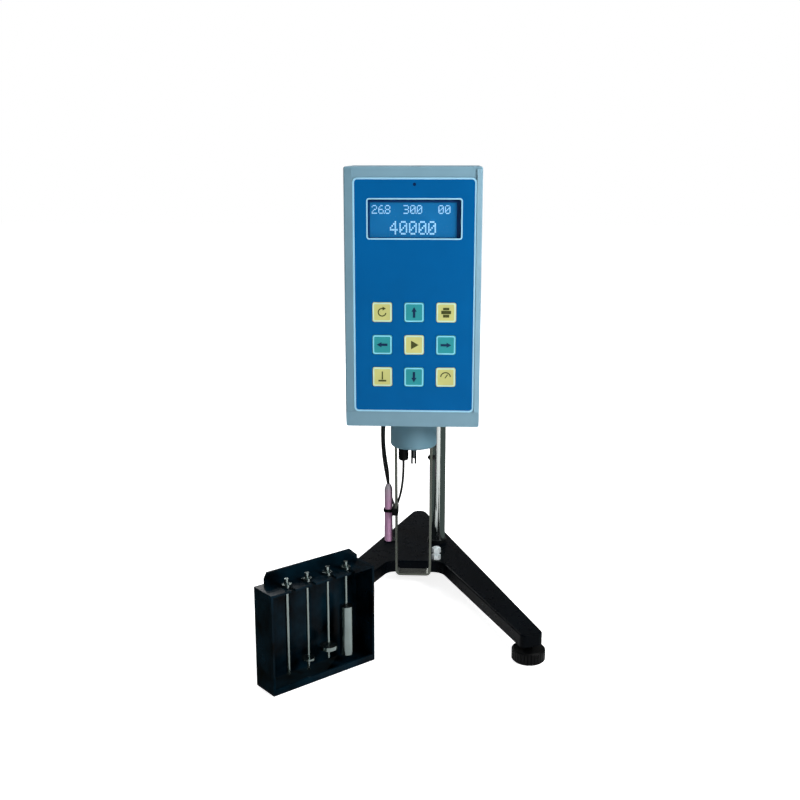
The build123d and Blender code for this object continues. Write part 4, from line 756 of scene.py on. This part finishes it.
# ---- Probe cable ----
# One thin black PVC lead. It leaves the plug under the collar, turns back behind the probe, hangs
# over the mounting rod behind the head and comes down to the probe's cap.
CABLE_DIAMETER = 0.0024
CABLE_ROUTE_MM = (
    (-10.0, -8.0, 161.0),
    (-10.0, -8.0, 148.0),
    (-11.3, -4.0, 134.0),
    (-13.4, 4.0, 121.5),
    (-16.2, 12.0, 110.5),
    (-18.8, 19.5, 103.0),
    (-21.6, 28.0, 101.0),
    (-24.4, 35.0, 105.5),
    (-27.0, 38.5, 114.5),
    (-29.4, 36.5, 127.0),
    (-31.6, 32.5, 142.0),
    (-33.5, 31.5, 158.0),
    (-34.6, 35.0, 178.0),
    (-34.2, 46.0, 195.0),
    (-31.4, 56.0, 214.0),
    (-26.0, 60.0, 240.0),
    (-19.0, 61.0, 268.0),
    (-13.0, 61.3, 292.0),
    (-10.3, 61.0, 311.0),
    (-9.0, 61.0, 324.7),
    (-3.7, 61.5, 330.0),
    (3.7, 62.0, 330.0),
    (9.0, 62.5, 324.7),
    (10.3, 63.2, 311.0),
    (8.5, 64.0, 292.0),
    (2.0, 64.5, 268.0),
    (-9.0, 63.5, 244.0),
    (-20.5, 60.0, 224.0),
    (-28.5, 52.5, 207.0),
    (-31.3, 41.0, 193.0),
    (-31.9, 27.0, 180.0),
    (-30.7, 13.5, 168.0),
    (-28.2, 4.0, 155.5),
    (-25.7, 0.0, 143.5),
    (-25.7, 0.0, 133.0),
)
# Plasticised PVC, extruded: slightly glossy, with a faint unevenness along the lead.
cable_pvc = grained_finish("extruded_black_pvc", "#0c0c0e", 0.4, grain_mm=2.5, bump_mm=0.02, shade=0.2,
                           specular=0.4)

cable_line = bpy.data.curves.new("probe_cable_line", "CURVE")
cable_line.dimensions = "3D"
cable_line.bevel_depth = CABLE_DIAMETER / 2
cable_line.bevel_resolution = 6
cable_line.resolution_u = 10
cable_line.use_fill_caps = True
spline = cable_line.splines.new("NURBS")
route = np.array(CABLE_ROUTE_MM) / 1000 + AXIS
spline.points.add(len(route) - 1)
spline.points.foreach_set("co", np.column_stack([route, np.ones(len(route))]).ravel())
spline.order_u = 3
spline.use_endpoint_u = True
cable_line.materials.append(cable_pvc)
cable = bpy.data.objects.new("cable", cable_line)
bpy.context.scene.collection.objects.link(cable)
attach(cable, "head")
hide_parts("probe_cable")

# ---- Spindle rack ----
# Sheet steel, folded and sprayed gloss black, with four turned stainless spindles that hang in its
# slots by their heads. The sheet is flatter than the casting, so its reflections are calmer. Its
# black goes up to a deep teal in patches, which are painted reflections.
# Patches from near black to deep teal, 24 mm across: painted teal reflections in the enamel.
rack_enamel_and_painted_reflections = grained_finish("black_enamel_with_painted_teal_reflections", "#031119", 0.2, grain_mm=9.0, bump_mm=0.015,
                             patch_mm=24, shade=1.0, specular=0.045)
spindle_steel = grained_finish("turned_stainless_spindle", "#8e9b99", 0.2, grain_mm=0.35, bump_mm=0.004,
                               stretch=(0.1, 0.1, 1), metallic=1.0)
dress(rack_enamel_and_painted_reflections, "spindle_rack")
dress(spindle_steel, "spindle_1", "spindle_2", "spindle_3", "spindle_4")

# ---- Bubble level ----
# A round vial set into the top of the head: yellow-green spirit under glass, a black ring printed
# on the glass and the bubble inside it.
LEVEL_RIM_MM = [(7.9, -0.5), (9.0, -0.5), (9.0, 0.15), (7.9, 0.15)]
LEVEL_CIRCLE_MM = [(3.3, -0.1), (3.7, -0.1), (3.7, 0.05), (3.3, 0.05)]
BUBBLE_MM = [(2.5, -0.1), (2.5, 0.02), (2.2, 0.1), (1.4, 0.14), (0.3, 0.15)]
BUBBLE_SHIFT = (0.0004, -0.0003, 0)
level_spirit = grained_finish("yellow_green_spirit_under_glass", "#a9c94f", 0.08, grain_mm=5.0, bump_mm=0.0,
                              coat=0.6)
ring_ink = grained_finish("black_ring_ink", "#101010", 0.5, grain_mm=0.4, bump_mm=0.002)
bubble_air = grained_finish("air_bubble_under_glass", "#dfeeb0", 0.1, grain_mm=2.0, bump_mm=0.0, coat=0.6)
dress(level_spirit, "bubble_level")
level_low, level_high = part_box("bubble_level")
level_top = np.array([(level_low.x + level_high.x) / 2, (level_low.y + level_high.y) / 2, level_high.z])
turned_piece("level_rim", LEVEL_RIM_MM, [level_top], (0, 0, 1), nickel_plate, "head",
             steps=48, hollow=True)
turned_piece("level_circle", LEVEL_CIRCLE_MM, [level_top], (0, 0, 1), ring_ink, "head",
             steps=48, hollow=True)
turned_piece("level_bubble", BUBBLE_MM, [level_top + BUBBLE_SHIFT], (0, 0, 1), bubble_air, "head",
             steps=32)
